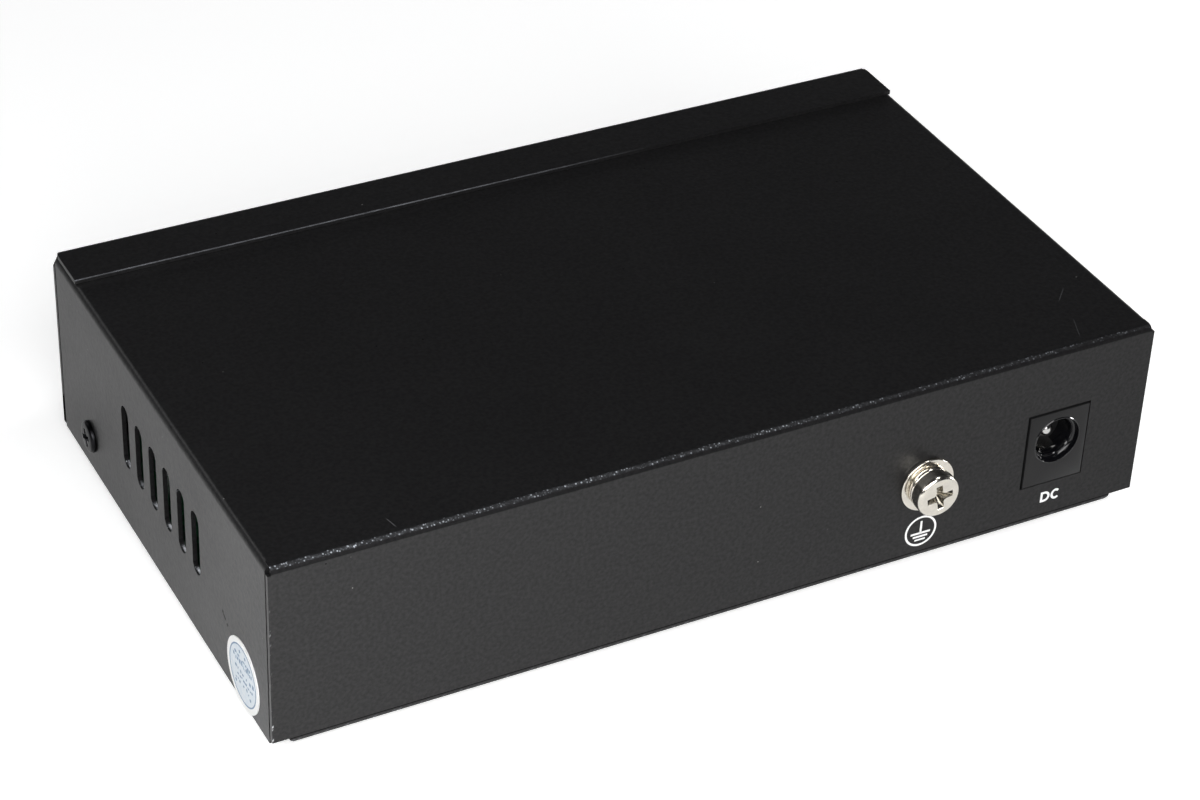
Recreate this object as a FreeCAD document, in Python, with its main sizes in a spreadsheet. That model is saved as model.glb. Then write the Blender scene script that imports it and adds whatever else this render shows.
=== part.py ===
import FreeCAD, Part
import math
import os

import Sketcher
from FreeCAD import Placement, Rotation, Vector

# A small metal-cased network switch: a folded tray and a folded cover round one circuit board.
# +X is the side with the seal sticker, -Y the front with the network ports, +Y the rear with the
# supply inlet and the earth screw, +Z up. The origin is on the floor under the middle of the case.

SIZES = [
    ("case_width", 122.0, "outside width of the case, X"),
    ("case_depth", 72.5, "outside depth of the case, front panel to rear wall, Y"),
    ("cover_height", 27.7, "underside of the tray to the top of the cover"),
    ("sheet", 0.6, "thickness of the case steel"),
    ("bend_radius", 0.9, "outside radius of every bend of the case"),
    ("seam_gap", 0.3, "gap between the cover and the tray at every seam"),
    ("lip_gap", 0.05, "gap between the cover's top and the lip over it"),
    ("lip_depth", 7.8, "front panel's face to the rear edge of the lip"),
    ("lip_inset", 0.3, "end of the lip, in from the case's side"),
    ("lip_corner", 0.65, "cut at the front corners of the lip, in from the case's side"),
    ("lip_corner_back", 1.5, "front panel's face to the end of that cut along the lip"),
    ("lip_corner_drop", 2.2, "top of the lip to the end of that cut down the front panel"),
    ("panel_corner", 1.6, "cut at the lower corners of the front panel"),
    ("cover_edge_rise", 1.3, "underside of the tray to the lower edges of the cover's side walls"),
    ("rear_edge_rise", 1.95, "underside of the tray to the lower edge of the rear wall"),
    ("corner_relief", 0.45, "width of the notch that frees the rear bend at each corner"),
    ("flange_rise", 4.4, "underside of the tray to the top of its side and rear flanges"),
    ("rear_flange_inset", 2.6, "end of the tray's rear flange, in from the case's side"),
    ("flange_overlap", 1.5, "length of floor that the rear flange's fold runs into"),
    ("flange_corner", 0.8, "cut at the lower ends of the rear flange"),
    ("vent_count", 6, "ventilation slots in each side wall"),
    ("vent_pitch", 4.78, "slot to slot"),
    ("vent_width", 2.5, "width of one slot"),
    ("vent_height", 9.3, "height of one slot over its round ends"),
    ("vent_middle_setback", 37.3, "front panel's face to the middle of the row of slots"),
    ("vent_middle_rise", 15.35, "underside of the tray to the middle of the slots"),
    ("side_screw_setback", 11.05, "front panel's face to the side screws"),
    ("side_screw_rise", 6.2, "underside of the tray to the side screws"),
    ("tab_width", 9.0, "width of the upright tab behind each side screw"),
    ("tab_margin", 3.2, "top of the tab above its screw"),
    ("tab_corner", 1.5, "rounding of the tab's upper corners"),
    ("collar_wall", 0.7, "wall of the drawn collar that the side screw's thread holds in"),
    ("collar_length", 1.1, "length of the drawn collar inside the tab"),
    ("thread_radius", 1.5, "outside radius of every machine screw's thread"),
    ("thread_clearance", 0.05, "gap round a thread in its tapped hole"),
    ("hole_clearance", 0.2, "gap round a thread in a plain hole"),
    ("side_head_radius", 2.2, "radius of the side screws' heads"),
    ("side_head_height", 0.7, "height of the side screws' heads"),
    ("side_shank", 5.0, "length of the side screws under the head"),
    ("recess_depth", 0.8, "depth of a small screw's cross recess"),
    ("recess_arm", 0.34, "half width of a recess's arm"),
    ("recess_taper", 0.6, "foot of a recess as a share of its mouth"),
    ("keyhole_span", 80.0, "distance between the two wall-mounting keyholes"),
    ("keyhole_radius", 3.6, "radius of a keyhole's round end"),
    ("keyhole_neck", 1.9, "half width of a keyhole's neck"),
    ("keyhole_length", 7.0, "centre of the round end to the end of the neck"),
    ("foot_height", 1.5, "height of the rubber feet under the tray"),
    ("foot_radius", 4.0, "radius of a rubber foot"),
    ("foot_inset", 9.0, "centre of a foot, in from the case's sides"),
    ("board_rise", 7.25, "underside of the tray to the top of the circuit board"),
    ("board_thickness", 1.6, "thickness of the circuit board"),
    ("board_gap", 0.5, "gap between the board's edge and the tray's flanges"),
    ("board_notch_depth", 3.6, "depth of the board's notches for the side screws"),
    ("board_notch_width", 6.0, "width of the board's notches for the side screws"),
    ("post_from_side", 7.0, "board posts, in from the case's sides"),
    ("post_front_setback", 22.3, "front panel's face to the front pair of board posts"),
    ("post_rear_setback", 18.5, "rear wall's face to the rear pair of board posts"),
    ("post_flats", 5.0, "width across the flats of a six-sided board post"),
    ("board_head_radius", 2.75, "radius of a board screw's head"),
    ("board_head_height", 2.0, "height of a board screw's head"),
    ("board_screw_length", 5.0, "length of a board screw under the head"),
    ("inlet_from_side", 13.3, "middle of the supply inlet, in from the case's side"),
    ("inlet_width", 9.0, "width of the supply inlet's face"),
    ("inlet_height", 11.0, "height of the supply inlet's face"),
    ("inlet_depth", 14.0, "length of the supply inlet"),
    ("inlet_block", 3.4, "length of the inlet's full-size front block"),
    ("inlet_step", 1.6, "drop from the front block to the barrel behind it"),
    ("inlet_shoulder", 0.6, "step in at each side behind the front block"),
    ("inlet_gap", 0.25, "gap between the inlet and the rear wall round it"),
    ("inlet_bore_radius", 3.2, "radius of the inlet's bore"),
    ("inlet_bore_depth", 10.5, "depth of the inlet's bore"),
    ("inlet_bore_rise", 6.5, "top of the board to the middle of the bore"),
    ("inlet_rim", 0.35, "chamfer at the mouth of the bore"),
    ("pin_radius", 1.05, "radius of the inlet's centre pin"),
    ("pin_recess", 1.2, "mouth of the bore to the tip of the pin"),
    ("spring_width", 2.4, "width of the inlet's side contact"),
    ("spring_sheet", 0.3, "thickness of the inlet's side contact"),
    ("earth_from_side", 32.85, "earth screw, in from the case's side"),
    ("earth_rise", 12.7, "underside of the tray to the earth screw"),
    ("washer_radius", 3.85, "radius of the flat washer"),
    ("washer_sheet", 0.5, "thickness of the flat washer"),
    ("spring_washer_radius", 3.0, "outer radius of the split spring washer"),
    ("spring_washer_sheet", 0.9, "thickness of the split spring washer"),
    ("spring_washer_split", 8.0, "angle of the split, in degrees"),
    ("earth_head_radius", 3.05, "radius of the earth screw's head"),
    ("earth_head_height", 2.0, "height of the earth screw's head"),
    ("earth_rim", 0.6, "bevel of the earth screw's head"),
    ("earth_recess", 1.2, "depth of the earth screw's cross recess"),
    ("earth_recess_reach", 1.85, "middle of the earth screw's head to the end of a recess arm"),
    ("earth_shank", 8.0, "length of the earth screw under the head"),
    ("nut_flats", 5.5, "width across the flats of the earth nut"),
    ("nut_height", 2.4, "height of the earth nut"),
    ("port_count", 5, "network ports in the bank"),
    ("port_pitch", 13.97, "port to port"),
    ("port_width", 11.9, "width of a port's cavity"),
    ("port_height", 6.9, "height of a port's cavity above its latch channel"),
    ("port_depth", 13.0, "depth of a port's cavity"),
    ("latch_width", 6.4, "width of the latch channel"),
    ("latch_drop", 1.5, "depth of the latch channel under the cavity"),
    ("latch_tip_width", 3.4, "width of the channel for the latch's tip"),
    ("latch_tip_drop", 1.2, "depth of the channel for the latch's tip"),
    ("port_sill", 1.2, "top of the board to the lowest point of a port"),
    ("bank_height", 13.4, "height of the bank of ports"),
    ("bank_depth", 17.5, "depth of the bank of ports"),
    ("bank_end_wall", 1.0, "wall outside the first and last cavity's pitch"),
    ("bank_from_side", 45.0, "middle of the bank to the case's side"),
    ("bank_reach", 0.4, "front of the shield beyond the front panel"),
    ("shield_sheet", 0.25, "thickness of the shield round the bank"),
    ("shield_gap", 0.05, "gap between the shield and the bank in it"),
    ("panel_gap", 0.25, "gap between the shield and the front panel round it"),
    ("contact_count", 8, "spring contacts in a port"),
    ("contact_pitch", 1.02, "contact to contact"),
    ("contact_width", 0.45, "width of a contact"),
    ("contact_sheet", 0.25, "thickness of a contact"),
    ("contact_setback", 1.8, "front of the bank to the tip of a contact"),
    ("contact_run", 8.6, "length of a contact's slope, front to back"),
    ("contact_fall", 2.0, "fall of a contact from front to back"),
    ("contact_end", 0.7, "flat length at the tip of a contact"),
    ("light_count", 6, "indicator lights beside the ports"),
    ("light_pitch", 4.2, "light to light"),
    ("light_width", 2.0, "width of a light's lens"),
    ("light_height", 3.0, "height of a light's lens"),
    ("light_rise", 4.7, "top of the board to the middle of the lights"),
    ("light_length", 5.0, "length of a light"),
    ("light_reach", 0.5, "face of a light beyond the front panel"),
    ("light_bevel", 0.3, "bevel round the face of a light"),
    ("light_row_gap", 4.0, "last light to the bank of ports"),
    ("holder_depth", 5.0, "depth of a light's holder"),
    ("holder_wall", 0.8, "wall of a holder beside and above its light"),
    ("transformer_width", 12.7, "width of a line transformer"),
    ("transformer_depth", 7.0, "depth of a line transformer"),
    ("transformer_height", 5.8, "height of a line transformer"),
    ("transformer_setback", 26.5, "front panel's face to the middle of the transformers"),
    ("chip_side", 14.0, "side of the switching chip"),
    ("chip_height", 1.4, "height of the switching chip"),
    ("chip_offset", 2.0, "switching chip, right of the bank's middle"),
    ("chip_setback", 25.3, "rear wall's face to the middle of the switching chip"),
    ("chip_chamfer", 0.3, "chamfer of a moulded chip"),
    ("lead_reach", 1.0, "length of a chip's leads"),
    ("lead_pitch", 1.27, "lead to lead"),
    ("lead_width", 0.4, "width of a lead"),
    ("lead_sheet", 0.2, "thickness of a lead"),
    ("chip_leads", 9, "leads along each side of the switching chip"),
    ("can_radius", 4.0, "radius of a smoothing capacitor"),
    ("can_height", 11.5, "height of a smoothing capacitor"),
    ("can_edge", 0.45, "bevel round the top of a capacitor"),
    ("can_pitch", 10.0, "capacitor to capacitor"),
    ("can_offset", 15.7, "capacitors, to the right of the inlet"),
    ("can_setback", 14.3, "rear wall's face to the middle of the first capacitor"),
    ("coil_side", 10.0, "side of the power inductor"),
    ("coil_height", 5.0, "height of the power inductor"),
    ("coil_offset", 2.7, "power inductor, to the right of the inlet"),
    ("coil_setback", 32.3, "rear wall's face to the middle of the power inductor"),
    ("small_chip_width", 4.0, "width of an eight-lead chip"),
    ("small_chip_length", 5.0, "length of an eight-lead chip"),
    ("small_chip_height", 1.5, "height of an eight-lead chip"),
    ("small_chip_leads", 4, "leads along each long side of an eight-lead chip"),
    ("power_chip_offset", 14.7, "power chip, to the right of the inlet"),
    ("power_chip_setback", 34.3, "rear wall's face to the middle of the power chip"),
    ("memory_chip_offset", 20.0, "memory chip, right of the switching chip"),
    ("memory_chip_setback", 24.3, "rear wall's face to the middle of the memory chip"),
    ("crystal_length", 11.0, "length of the clock crystal's can"),
    ("crystal_width", 4.6, "width of the clock crystal's can"),
    ("crystal_height", 3.5, "height of the clock crystal's can"),
    ("crystal_setback", 12.3, "rear wall's face to the middle of the clock crystal"),
    ("diode_length", 6.8, "length of the supply diode"),
    ("diode_width", 5.8, "width of the supply diode"),
    ("diode_height", 2.3, "height of the supply diode"),
    ("diode_setback", 20.8, "rear wall's face to the middle of the supply diode"),
    ("sticker_radius", 4.95, "radius of the seal sticker"),
    ("sticker_sheet", 0.12, "thickness of the seal sticker"),
    ("sticker_setback", 63.85, "front panel's face to the middle of the sticker"),
    ("sticker_rise", 5.85, "underside of the tray to the middle of the sticker"),
    ("sticker_flap", 0.9, "length of the sticker folded under the cover's edge"),
    ("sticker_flap_half", 1.7, "half width of the folded part"),
]


class Size:
    """A length that knows both its spreadsheet expression and its present number."""

    def __init__(self, text, number):
        self.text = text
        self.number = number

    def _with(self, other, sign, number):
        return Size(f"({self.text} {sign} {text_of(other)})", number)

    def __add__(self, other):
        return self._with(other, "+", self.number + number_of(other))

    def __sub__(self, other):
        return self._with(other, "-", self.number - number_of(other))

    def __mul__(self, other):
        return self._with(other, "*", self.number * number_of(other))

    def __truediv__(self, other):
        return self._with(other, "/", self.number / number_of(other))

    def __neg__(self):
        return Size(f"(0 - {self.text})", -self.number)

    def __radd__(self, other):
        return self + other

    def __rmul__(self, other):
        return self * other

    def __rsub__(self, other):
        return -self + other


def text_of(value):
    return value.text if isinstance(value, Size) else repr(float(value))


def number_of(value):
    return value.number if isinstance(value, Size) else float(value)


doc = FreeCAD.newDocument("NetworkSwitch")
sheet_object = doc.addObject("Spreadsheet::Sheet", "Sizes")


def fill_sheet():
    """Write the driving dimensions and return them as an object with one Size per alias."""
    for row, (alias, value, note) in enumerate(SIZES, 1):
        sheet_object.set(f"A{row}", alias)
        sheet_object.set(f"B{row}", str(value))
        sheet_object.set(f"C{row}", note)
        sheet_object.setAlias(f"B{row}", alias)
    doc.recompute()
    named = {alias: Size(f"Sizes.{alias}", float(value)) for alias, value, note in SIZES}
    return type("Named", (), named)


s = fill_sheet()

# Planes of the case that the pieces share.
SIDE = s.case_width / 2
FRONT = -s.case_depth / 2
REAR = s.case_depth / 2
UNDER = s.foot_height
TOP = UNDER + s.cover_height
INNER_RADIUS = s.bend_radius - s.sheet
COVER_EDGE = UNDER + s.cover_edge_rise
REAR_EDGE = UNDER + s.rear_edge_rise
SIDE_END = REAR - s.bend_radius
COVER_FRONT = FRONT + s.sheet + INNER_RADIUS
TRAY_SIDE = SIDE - s.sheet - s.seam_gap
TRAY_REAR = REAR - s.sheet - s.seam_gap
TRAY_FLOOR = UNDER + s.sheet
LIP_UNDER = TOP + s.lip_gap
BOARD_TOP = UNDER + s.board_rise
BOARD_UNDER = BOARD_TOP - s.board_thickness
SIDE_SCREW_Y = FRONT + s.side_screw_setback
SIDE_SCREW_Z = UNDER + s.side_screw_rise
BANK_X = SIDE - s.bank_from_side
BANK_WIDTH = s.port_count * s.port_pitch + s.bank_end_wall * 2
BANK_FRONT = FRONT - s.bank_reach + s.shield_sheet + s.shield_gap
FIRST_PORT_X = BANK_X - (s.port_count - 1) * s.port_pitch / 2
PORT_FLOOR = BOARD_TOP + s.port_sill + s.latch_tip_drop + s.latch_drop
PORT_ROOF = PORT_FLOOR + s.port_height
SHIELD_SIDE = BANK_WIDTH / 2 + s.shield_gap + s.shield_sheet
SHIELD_TOP = BOARD_TOP + s.bank_height + s.shield_gap + s.shield_sheet
FIRST_LIGHT_X = BANK_X - SHIELD_SIDE - s.light_row_gap - (s.light_count - 1) * s.light_pitch
LIGHT_Z = BOARD_TOP + s.light_rise
INLET_X = -SIDE + s.inlet_from_side
EARTH_X = -SIDE + s.earth_from_side
EARTH_Z = UNDER + s.earth_rise
CHIP_X = BANK_X + s.chip_offset

# Corner of a regular hexagon over half its width across the flats.
HEX_CORNER = 2 / math.sqrt(3)
# Two coordinates nearer than this are the same.
SAME = 1e-6
UPWARD = Vector(0, 0, 1)

NODES = []


def bind(thing, prop, value):
    """Tie a property of a document object to a size."""
    thing.setExpression(prop, text_of(value))


def keep(thing, label):
    """Give a finished sub-part its own label and put it on the list of nodes."""
    thing.Label = label
    NODES.append(thing)
    return thing


def new_body(name):
    body = doc.addObject("PartDesign::Body", name)
    body.AllowCompound = True
    return body


def datum(body, role):
    return next(f for f in body.Origin.OriginFeatures if f.Role == role)


def place(thing, x=0.0, y=0.0, z=0.0, axis=UPWARD, angle=0.0):
    """Turn a piece, then tie its place to the sizes."""
    thing.Placement = Placement(Vector(number_of(x), number_of(y), number_of(z)), Rotation(axis, angle))
    for letter, value in zip("xyz", (x, y, z)):
        bind(thing, f"Placement.Base.{letter}", value)


# Sketches. Each lies on one of its body's own planes, at a stated distance along the row axis.


def new_sketch(body, name, plane, at):
    sketch = body.newObject("Sketcher::SketchObject", name)
    sketch.AttachmentSupport = [(datum(body, plane), "")]
    sketch.MapMode = "FlatFace"
    bind(sketch, "AttachmentOffset.Base.z", -at if plane == "XZ_Plane" else at)
    return sketch


def fix(sketch, kind, first, end, value):
    """Hold one coordinate of a point, or a radius, to a size."""
    if kind == "Radius":
        held = sketch.addConstraint(Sketcher.Constraint(kind, first, number_of(value)))
    else:
        held = sketch.addConstraint(Sketcher.Constraint(kind, -1, 1, first, end, number_of(value)))
    sketch.setExpression(f"Constraints[{held}]", text_of(value))


def outline(sketch, points):
    """Draw a closed outline of straight lines through the points."""
    first = sketch.GeometryCount
    flat = [Vector(number_of(x), number_of(y), 0) for x, y in points]
    for start, end in zip(flat, flat[1:] + flat[:1]):
        sketch.addGeometry(Part.LineSegment(start, end), False)
    count = len(points)
    for index in range(count):
        after = first + (index + 1) % count
        sketch.addConstraint(Sketcher.Constraint("Coincident", first + index, 2, after, 1))
    for index, (x, y) in enumerate(points):
        fix(sketch, "DistanceX", first + index, 1, x)
        fix(sketch, "DistanceY", first + index, 1, y)


def folded(sketch, corners):
    """Draw the section of a folded sheet: level and upright lines, with arcs at the bent corners.

    Each corner is (x, y, radius); a radius of None leaves it square.
    """
    points = [Vector(number_of(x), number_of(y), 0) for x, y, radius in corners]
    radii = [radius for x, y, radius in corners]
    count = len(points)
    ways = [(points[(i + 1) % count] - points[i]).normalize() for i in range(count)]
    trims = [0.0 if radius is None else number_of(radius) for radius in radii]
    lines = []
    for i, way in enumerate(ways):
        after = (i + 1) % count
        start = points[i] + way * trims[i]
        end = points[after] - way * trims[after]
        line = sketch.addGeometry(Part.LineSegment(start, end), False)
        level = abs(way.y) < 0.5
        sketch.addConstraint(Sketcher.Constraint("Horizontal" if level else "Vertical", line))
        fix(sketch, "DistanceY" if level else "DistanceX", line, 1, corners[i][1 if level else 0])
        lines.append(line)
    for i, radius in enumerate(radii):
        before, after = lines[i - 1], lines[i]
        if radius is None:
            sketch.addConstraint(Sketcher.Constraint("Coincident", before, 2, after, 1))
            continue
        way_in, way_out = ways[i - 1], ways[i]
        middle = points[i] + (way_out - way_in) * trims[i]
        turns_left = way_in.x * way_out.y - way_in.y * way_out.x > 0
        spoke = -way_out if turns_left else way_in
        begin = math.atan2(spoke.y, spoke.x)
        rim = Part.Circle(middle, UPWARD, trims[i])
        arc = sketch.addGeometry(Part.ArcOfCircle(rim, begin, begin + math.pi / 2), False)
        first_end, last_end = (1, 2) if turns_left else (2, 1)
        sketch.addConstraint(Sketcher.Constraint("Tangent", before, 2, arc, first_end))
        sketch.addConstraint(Sketcher.Constraint("Tangent", arc, last_end, after, 1))
        fix(sketch, "Radius", arc, 0, radius)


def rectangle(sketch, left, right, low, high):
    outline(sketch, [(left, low), (right, low), (right, high), (left, high)])


def hexagon(sketch, x, y, flats):
    half = flats / 2
    corner = half * HEX_CORNER
    outline(sketch, [
        (x + corner, y), (x + corner / 2, y + half), (x - corner / 2, y + half),
        (x - corner, y), (x - corner / 2, y - half), (x + corner / 2, y - half),
    ])


def circle(sketch, x, y, radius):
    middle = Vector(number_of(x), number_of(y), 0)
    index = sketch.addGeometry(Part.Circle(middle, UPWARD, number_of(radius)), False)
    fix(sketch, "DistanceX", index, 3, x)
    fix(sketch, "DistanceY", index, 3, y)
    fix(sketch, "Radius", index, 0, radius)


def upright_slot(sketch, x, y, half_width, half_height):
    """Draw a slot with round ends, its long way up."""
    reach = half_height - half_width
    cx, cy, r, up = (number_of(v) for v in (x, y, half_width, reach))
    upper = Part.Circle(Vector(cx, cy + up, 0), UPWARD, r)
    lower = Part.Circle(Vector(cx, cy - up, 0), UPWARD, r)
    left_side = Part.LineSegment(Vector(cx - r, cy + up, 0), Vector(cx - r, cy - up, 0))
    right_side = Part.LineSegment(Vector(cx + r, cy - up, 0), Vector(cx + r, cy + up, 0))
    top = sketch.addGeometry(Part.ArcOfCircle(upper, 0, math.pi), False)
    bottom = sketch.addGeometry(Part.ArcOfCircle(lower, math.pi, 2 * math.pi), False)
    left = sketch.addGeometry(left_side, False)
    right = sketch.addGeometry(right_side, False)
    meetings = ((top, 2, left, 1), (left, 2, bottom, 1), (bottom, 2, right, 1), (right, 2, top, 1))
    for a, a_end, b, b_end in meetings:
        sketch.addConstraint(Sketcher.Constraint("Tangent", a, a_end, b, b_end))
    sketch.addConstraint(Sketcher.Constraint("Equal", top, bottom))
    for arc, height in ((top, y + reach), (bottom, y - reach)):
        fix(sketch, "DistanceX", arc, 3, x)
        fix(sketch, "DistanceY", arc, 3, height)
    fix(sketch, "Radius", top, 0, half_width)


# Features. A pad or pocket runs between two distances along the plane's own axis.


def pad(body, name, plane, start, end, draw):
    sketch = new_sketch(body, name + "_outline", plane, end if plane == "XZ_Plane" else start)
    draw(sketch)
    feature = body.newObject("PartDesign::Pad", name)
    feature.Profile = sketch
    bind(feature, "Length", end - start)
    body.Tip = feature
    return feature


def pocket(body, name, plane, start, end, draw):
    sketch = new_sketch(body, name + "_outline", plane, start if plane == "XZ_Plane" else end)
    draw(sketch)
    before = volume_of(body)
    feature = body.newObject("PartDesign::Pocket", name)
    feature.Profile = sketch
    bind(feature, "Length", end - start)
    body.Tip = feature
    if not volume_of(body) < before:
        raise RuntimeError(f"{name} cuts nothing")
    return feature


def revolve(body, name, points):
    """Turn an outline in the XZ plane about the Z axis."""
    sketch = new_sketch(body, name + "_outline", "XZ_Plane", 0.0)
    outline(sketch, points)
    feature = body.newObject("PartDesign::Revolution", name)
    feature.Profile = sketch
    feature.ReferenceAxis = (datum(body, "Z_Axis"), [""])
    feature.Angle = 360
    body.Tip = feature
    return feature


def volume_of(body):
    doc.recompute()
    return body.Shape.Volume


def edges_where(body, test):
    doc.recompute()
    return [f"Edge{i}" for i, edge in enumerate(body.Shape.Edges, 1) if test(edge)]


def ring_at(height, radius):
    """A test for full circles at a height, of a radius."""

    def test(edge):
        if edge.Curve.TypeId != "Part::GeomCircle":
            return False
        right_height = abs(edge.Curve.Center.z - number_of(height)) < SAME
        return right_height and abs(edge.Curve.Radius - number_of(radius)) < SAME

    return test


def round_edges(body, name, test, radius, kind="Fillet"):
    edges = edges_where(body, test)
    if not edges:
        raise RuntimeError(f"{name} finds no edge")
    base = body.Tip
    feature = body.newObject("PartDesign::" + kind, name)
    feature.Base = (base, edges)
    bind(feature, "Radius" if kind == "Fillet" else "Size", radius)
    body.Tip = feature
    return feature


def repeat(body, name, features, axis, count, pitch):
    """Repeat features along an axis of the body."""
    pattern = body.newObject("PartDesign::LinearPattern", name)
    pattern.Originals = features
    pattern.Direction = (datum(body, axis), [""])
    bind(pattern, "Length", (count - 1) * pitch)
    bind(pattern, "Occurrences", count)
    body.Tip = pattern
    return pattern


def group(label, piece, places):
    """Put copies of one piece in several places, as one node of separate solids."""
    copies = []
    for number, (x, y, z, axis, angle) in enumerate(places, 1):
        copy = doc.addObject("App::Link", f"{label}_{number}")
        copy.LinkedObject = piece
        place(copy, x, y, z, axis, angle)
        copies.append(copy)
    node = doc.addObject("Part::Compound", label)
    node.Links = copies
    return keep(node, label)


# The case.


def make_cover():
    """The folded cover: top, two slotted side walls and the full-width rear wall."""
    body = new_body("cover_shell")
    inside = SIDE - s.sheet
    below = TOP - s.sheet
    bend_end = SIDE - s.corner_relief
    overlap = SIDE_END - s.bend_radius
    outer, inner = s.bend_radius, INNER_RADIUS
    pad(body, "rear_fold", "YZ_Plane", -bend_end, bend_end, lambda sketch: folded(sketch, [
        (overlap, TOP, None), (REAR, TOP, outer), (REAR, REAR_EDGE, None),
        (REAR - s.sheet, REAR_EDGE, None), (REAR - s.sheet, below, inner), (overlap, below, None),
    ]))
    pad(body, "cover_top_and_sides", "XZ_Plane", COVER_FRONT, SIDE_END, lambda sketch: folded(sketch, [
        (-SIDE, COVER_EDGE, None), (-SIDE, TOP, outer), (SIDE, TOP, outer), (SIDE, COVER_EDGE, None),
        (inside, COVER_EDGE, None), (inside, below, inner), (-inside, below, inner),
        (-inside, COVER_EDGE, None),
    ]))
    pad(body, "rear_wall", "XZ_Plane", REAR - s.sheet, REAR, lambda sketch: rectangle(
        sketch, -SIDE, SIDE, REAR_EDGE, TOP - s.bend_radius))
    first_vent = FRONT + s.vent_middle_setback - (s.vent_count - 1) * s.vent_pitch / 2
    vent = pocket(body, "vent", "YZ_Plane", -SIDE - s.sheet, SIDE + s.sheet, lambda sketch: upright_slot(
        sketch, first_vent, UNDER + s.vent_middle_rise, s.vent_width / 2, s.vent_height / 2))
    repeat(body, "vents", [vent], "Y_Axis", s.vent_count, s.vent_pitch)
    pocket(body, "side_screw_holes", "YZ_Plane", -SIDE - s.sheet, SIDE + s.sheet, lambda sketch: circle(
        sketch, SIDE_SCREW_Y, SIDE_SCREW_Z, s.thread_radius + s.hole_clearance))
    half = s.inlet_width / 2 + s.inlet_gap
    inlet_top = BOARD_TOP + s.inlet_height + s.inlet_gap
    pocket(body, "inlet_window", "XZ_Plane", SIDE_END, REAR + s.sheet, lambda sketch: rectangle(
        sketch, INLET_X - half, INLET_X + half, BOARD_TOP - s.inlet_gap, inlet_top))
    pocket(body, "earth_hole", "XZ_Plane", SIDE_END, REAR + s.sheet, lambda sketch: circle(
        sketch, EARTH_X, EARTH_Z, s.thread_radius + s.hole_clearance))
    keep(body, "cover_shell")


def cut_panel_corners(body, stub_end, lip_top, lip_end):
    """Cut the corners of the front panel and of the lip, and set the lip's ends in from the sides."""
    before_panel = FRONT - s.sheet
    behind_lip = lip_end + s.sheet
    over_lip = lip_top + s.sheet
    under_lip = lip_top - s.bend_radius
    drop_end = lip_top - s.lip_corner_drop
    for side, way in (("right", 1), ("left", -1)):
        beyond = (SIDE + s.sheet) * way
        edge = SIDE * way
        inset = (SIDE - s.lip_inset) * way
        corner = (SIDE - s.lip_corner) * way
        foot = (SIDE - s.panel_corner) * way
        pocket(body, side + "_lip_end", "XY_Plane", under_lip, over_lip, lambda sketch: outline(sketch, [
            (corner, before_panel), (beyond, before_panel), (beyond, behind_lip), (inset, behind_lip),
            (inset, FRONT + s.lip_corner_back), (corner, FRONT),
        ]))
        pocket(body, side + "_panel_head", "XZ_Plane", before_panel, FRONT + s.bend_radius,
               lambda sketch: outline(sketch, [
                   (corner, under_lip), (corner, over_lip), (beyond, over_lip), (beyond, drop_end),
                   (edge, drop_end),
               ]))
        pocket(body, side + "_panel_foot", "XZ_Plane", before_panel, stub_end, lambda sketch: outline(
            sketch, [(foot, UNDER), (edge, UNDER + s.panel_corner), (beyond, UNDER + s.panel_corner),
                     (beyond, UNDER - s.sheet), (foot, UNDER - s.sheet)]))


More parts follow.
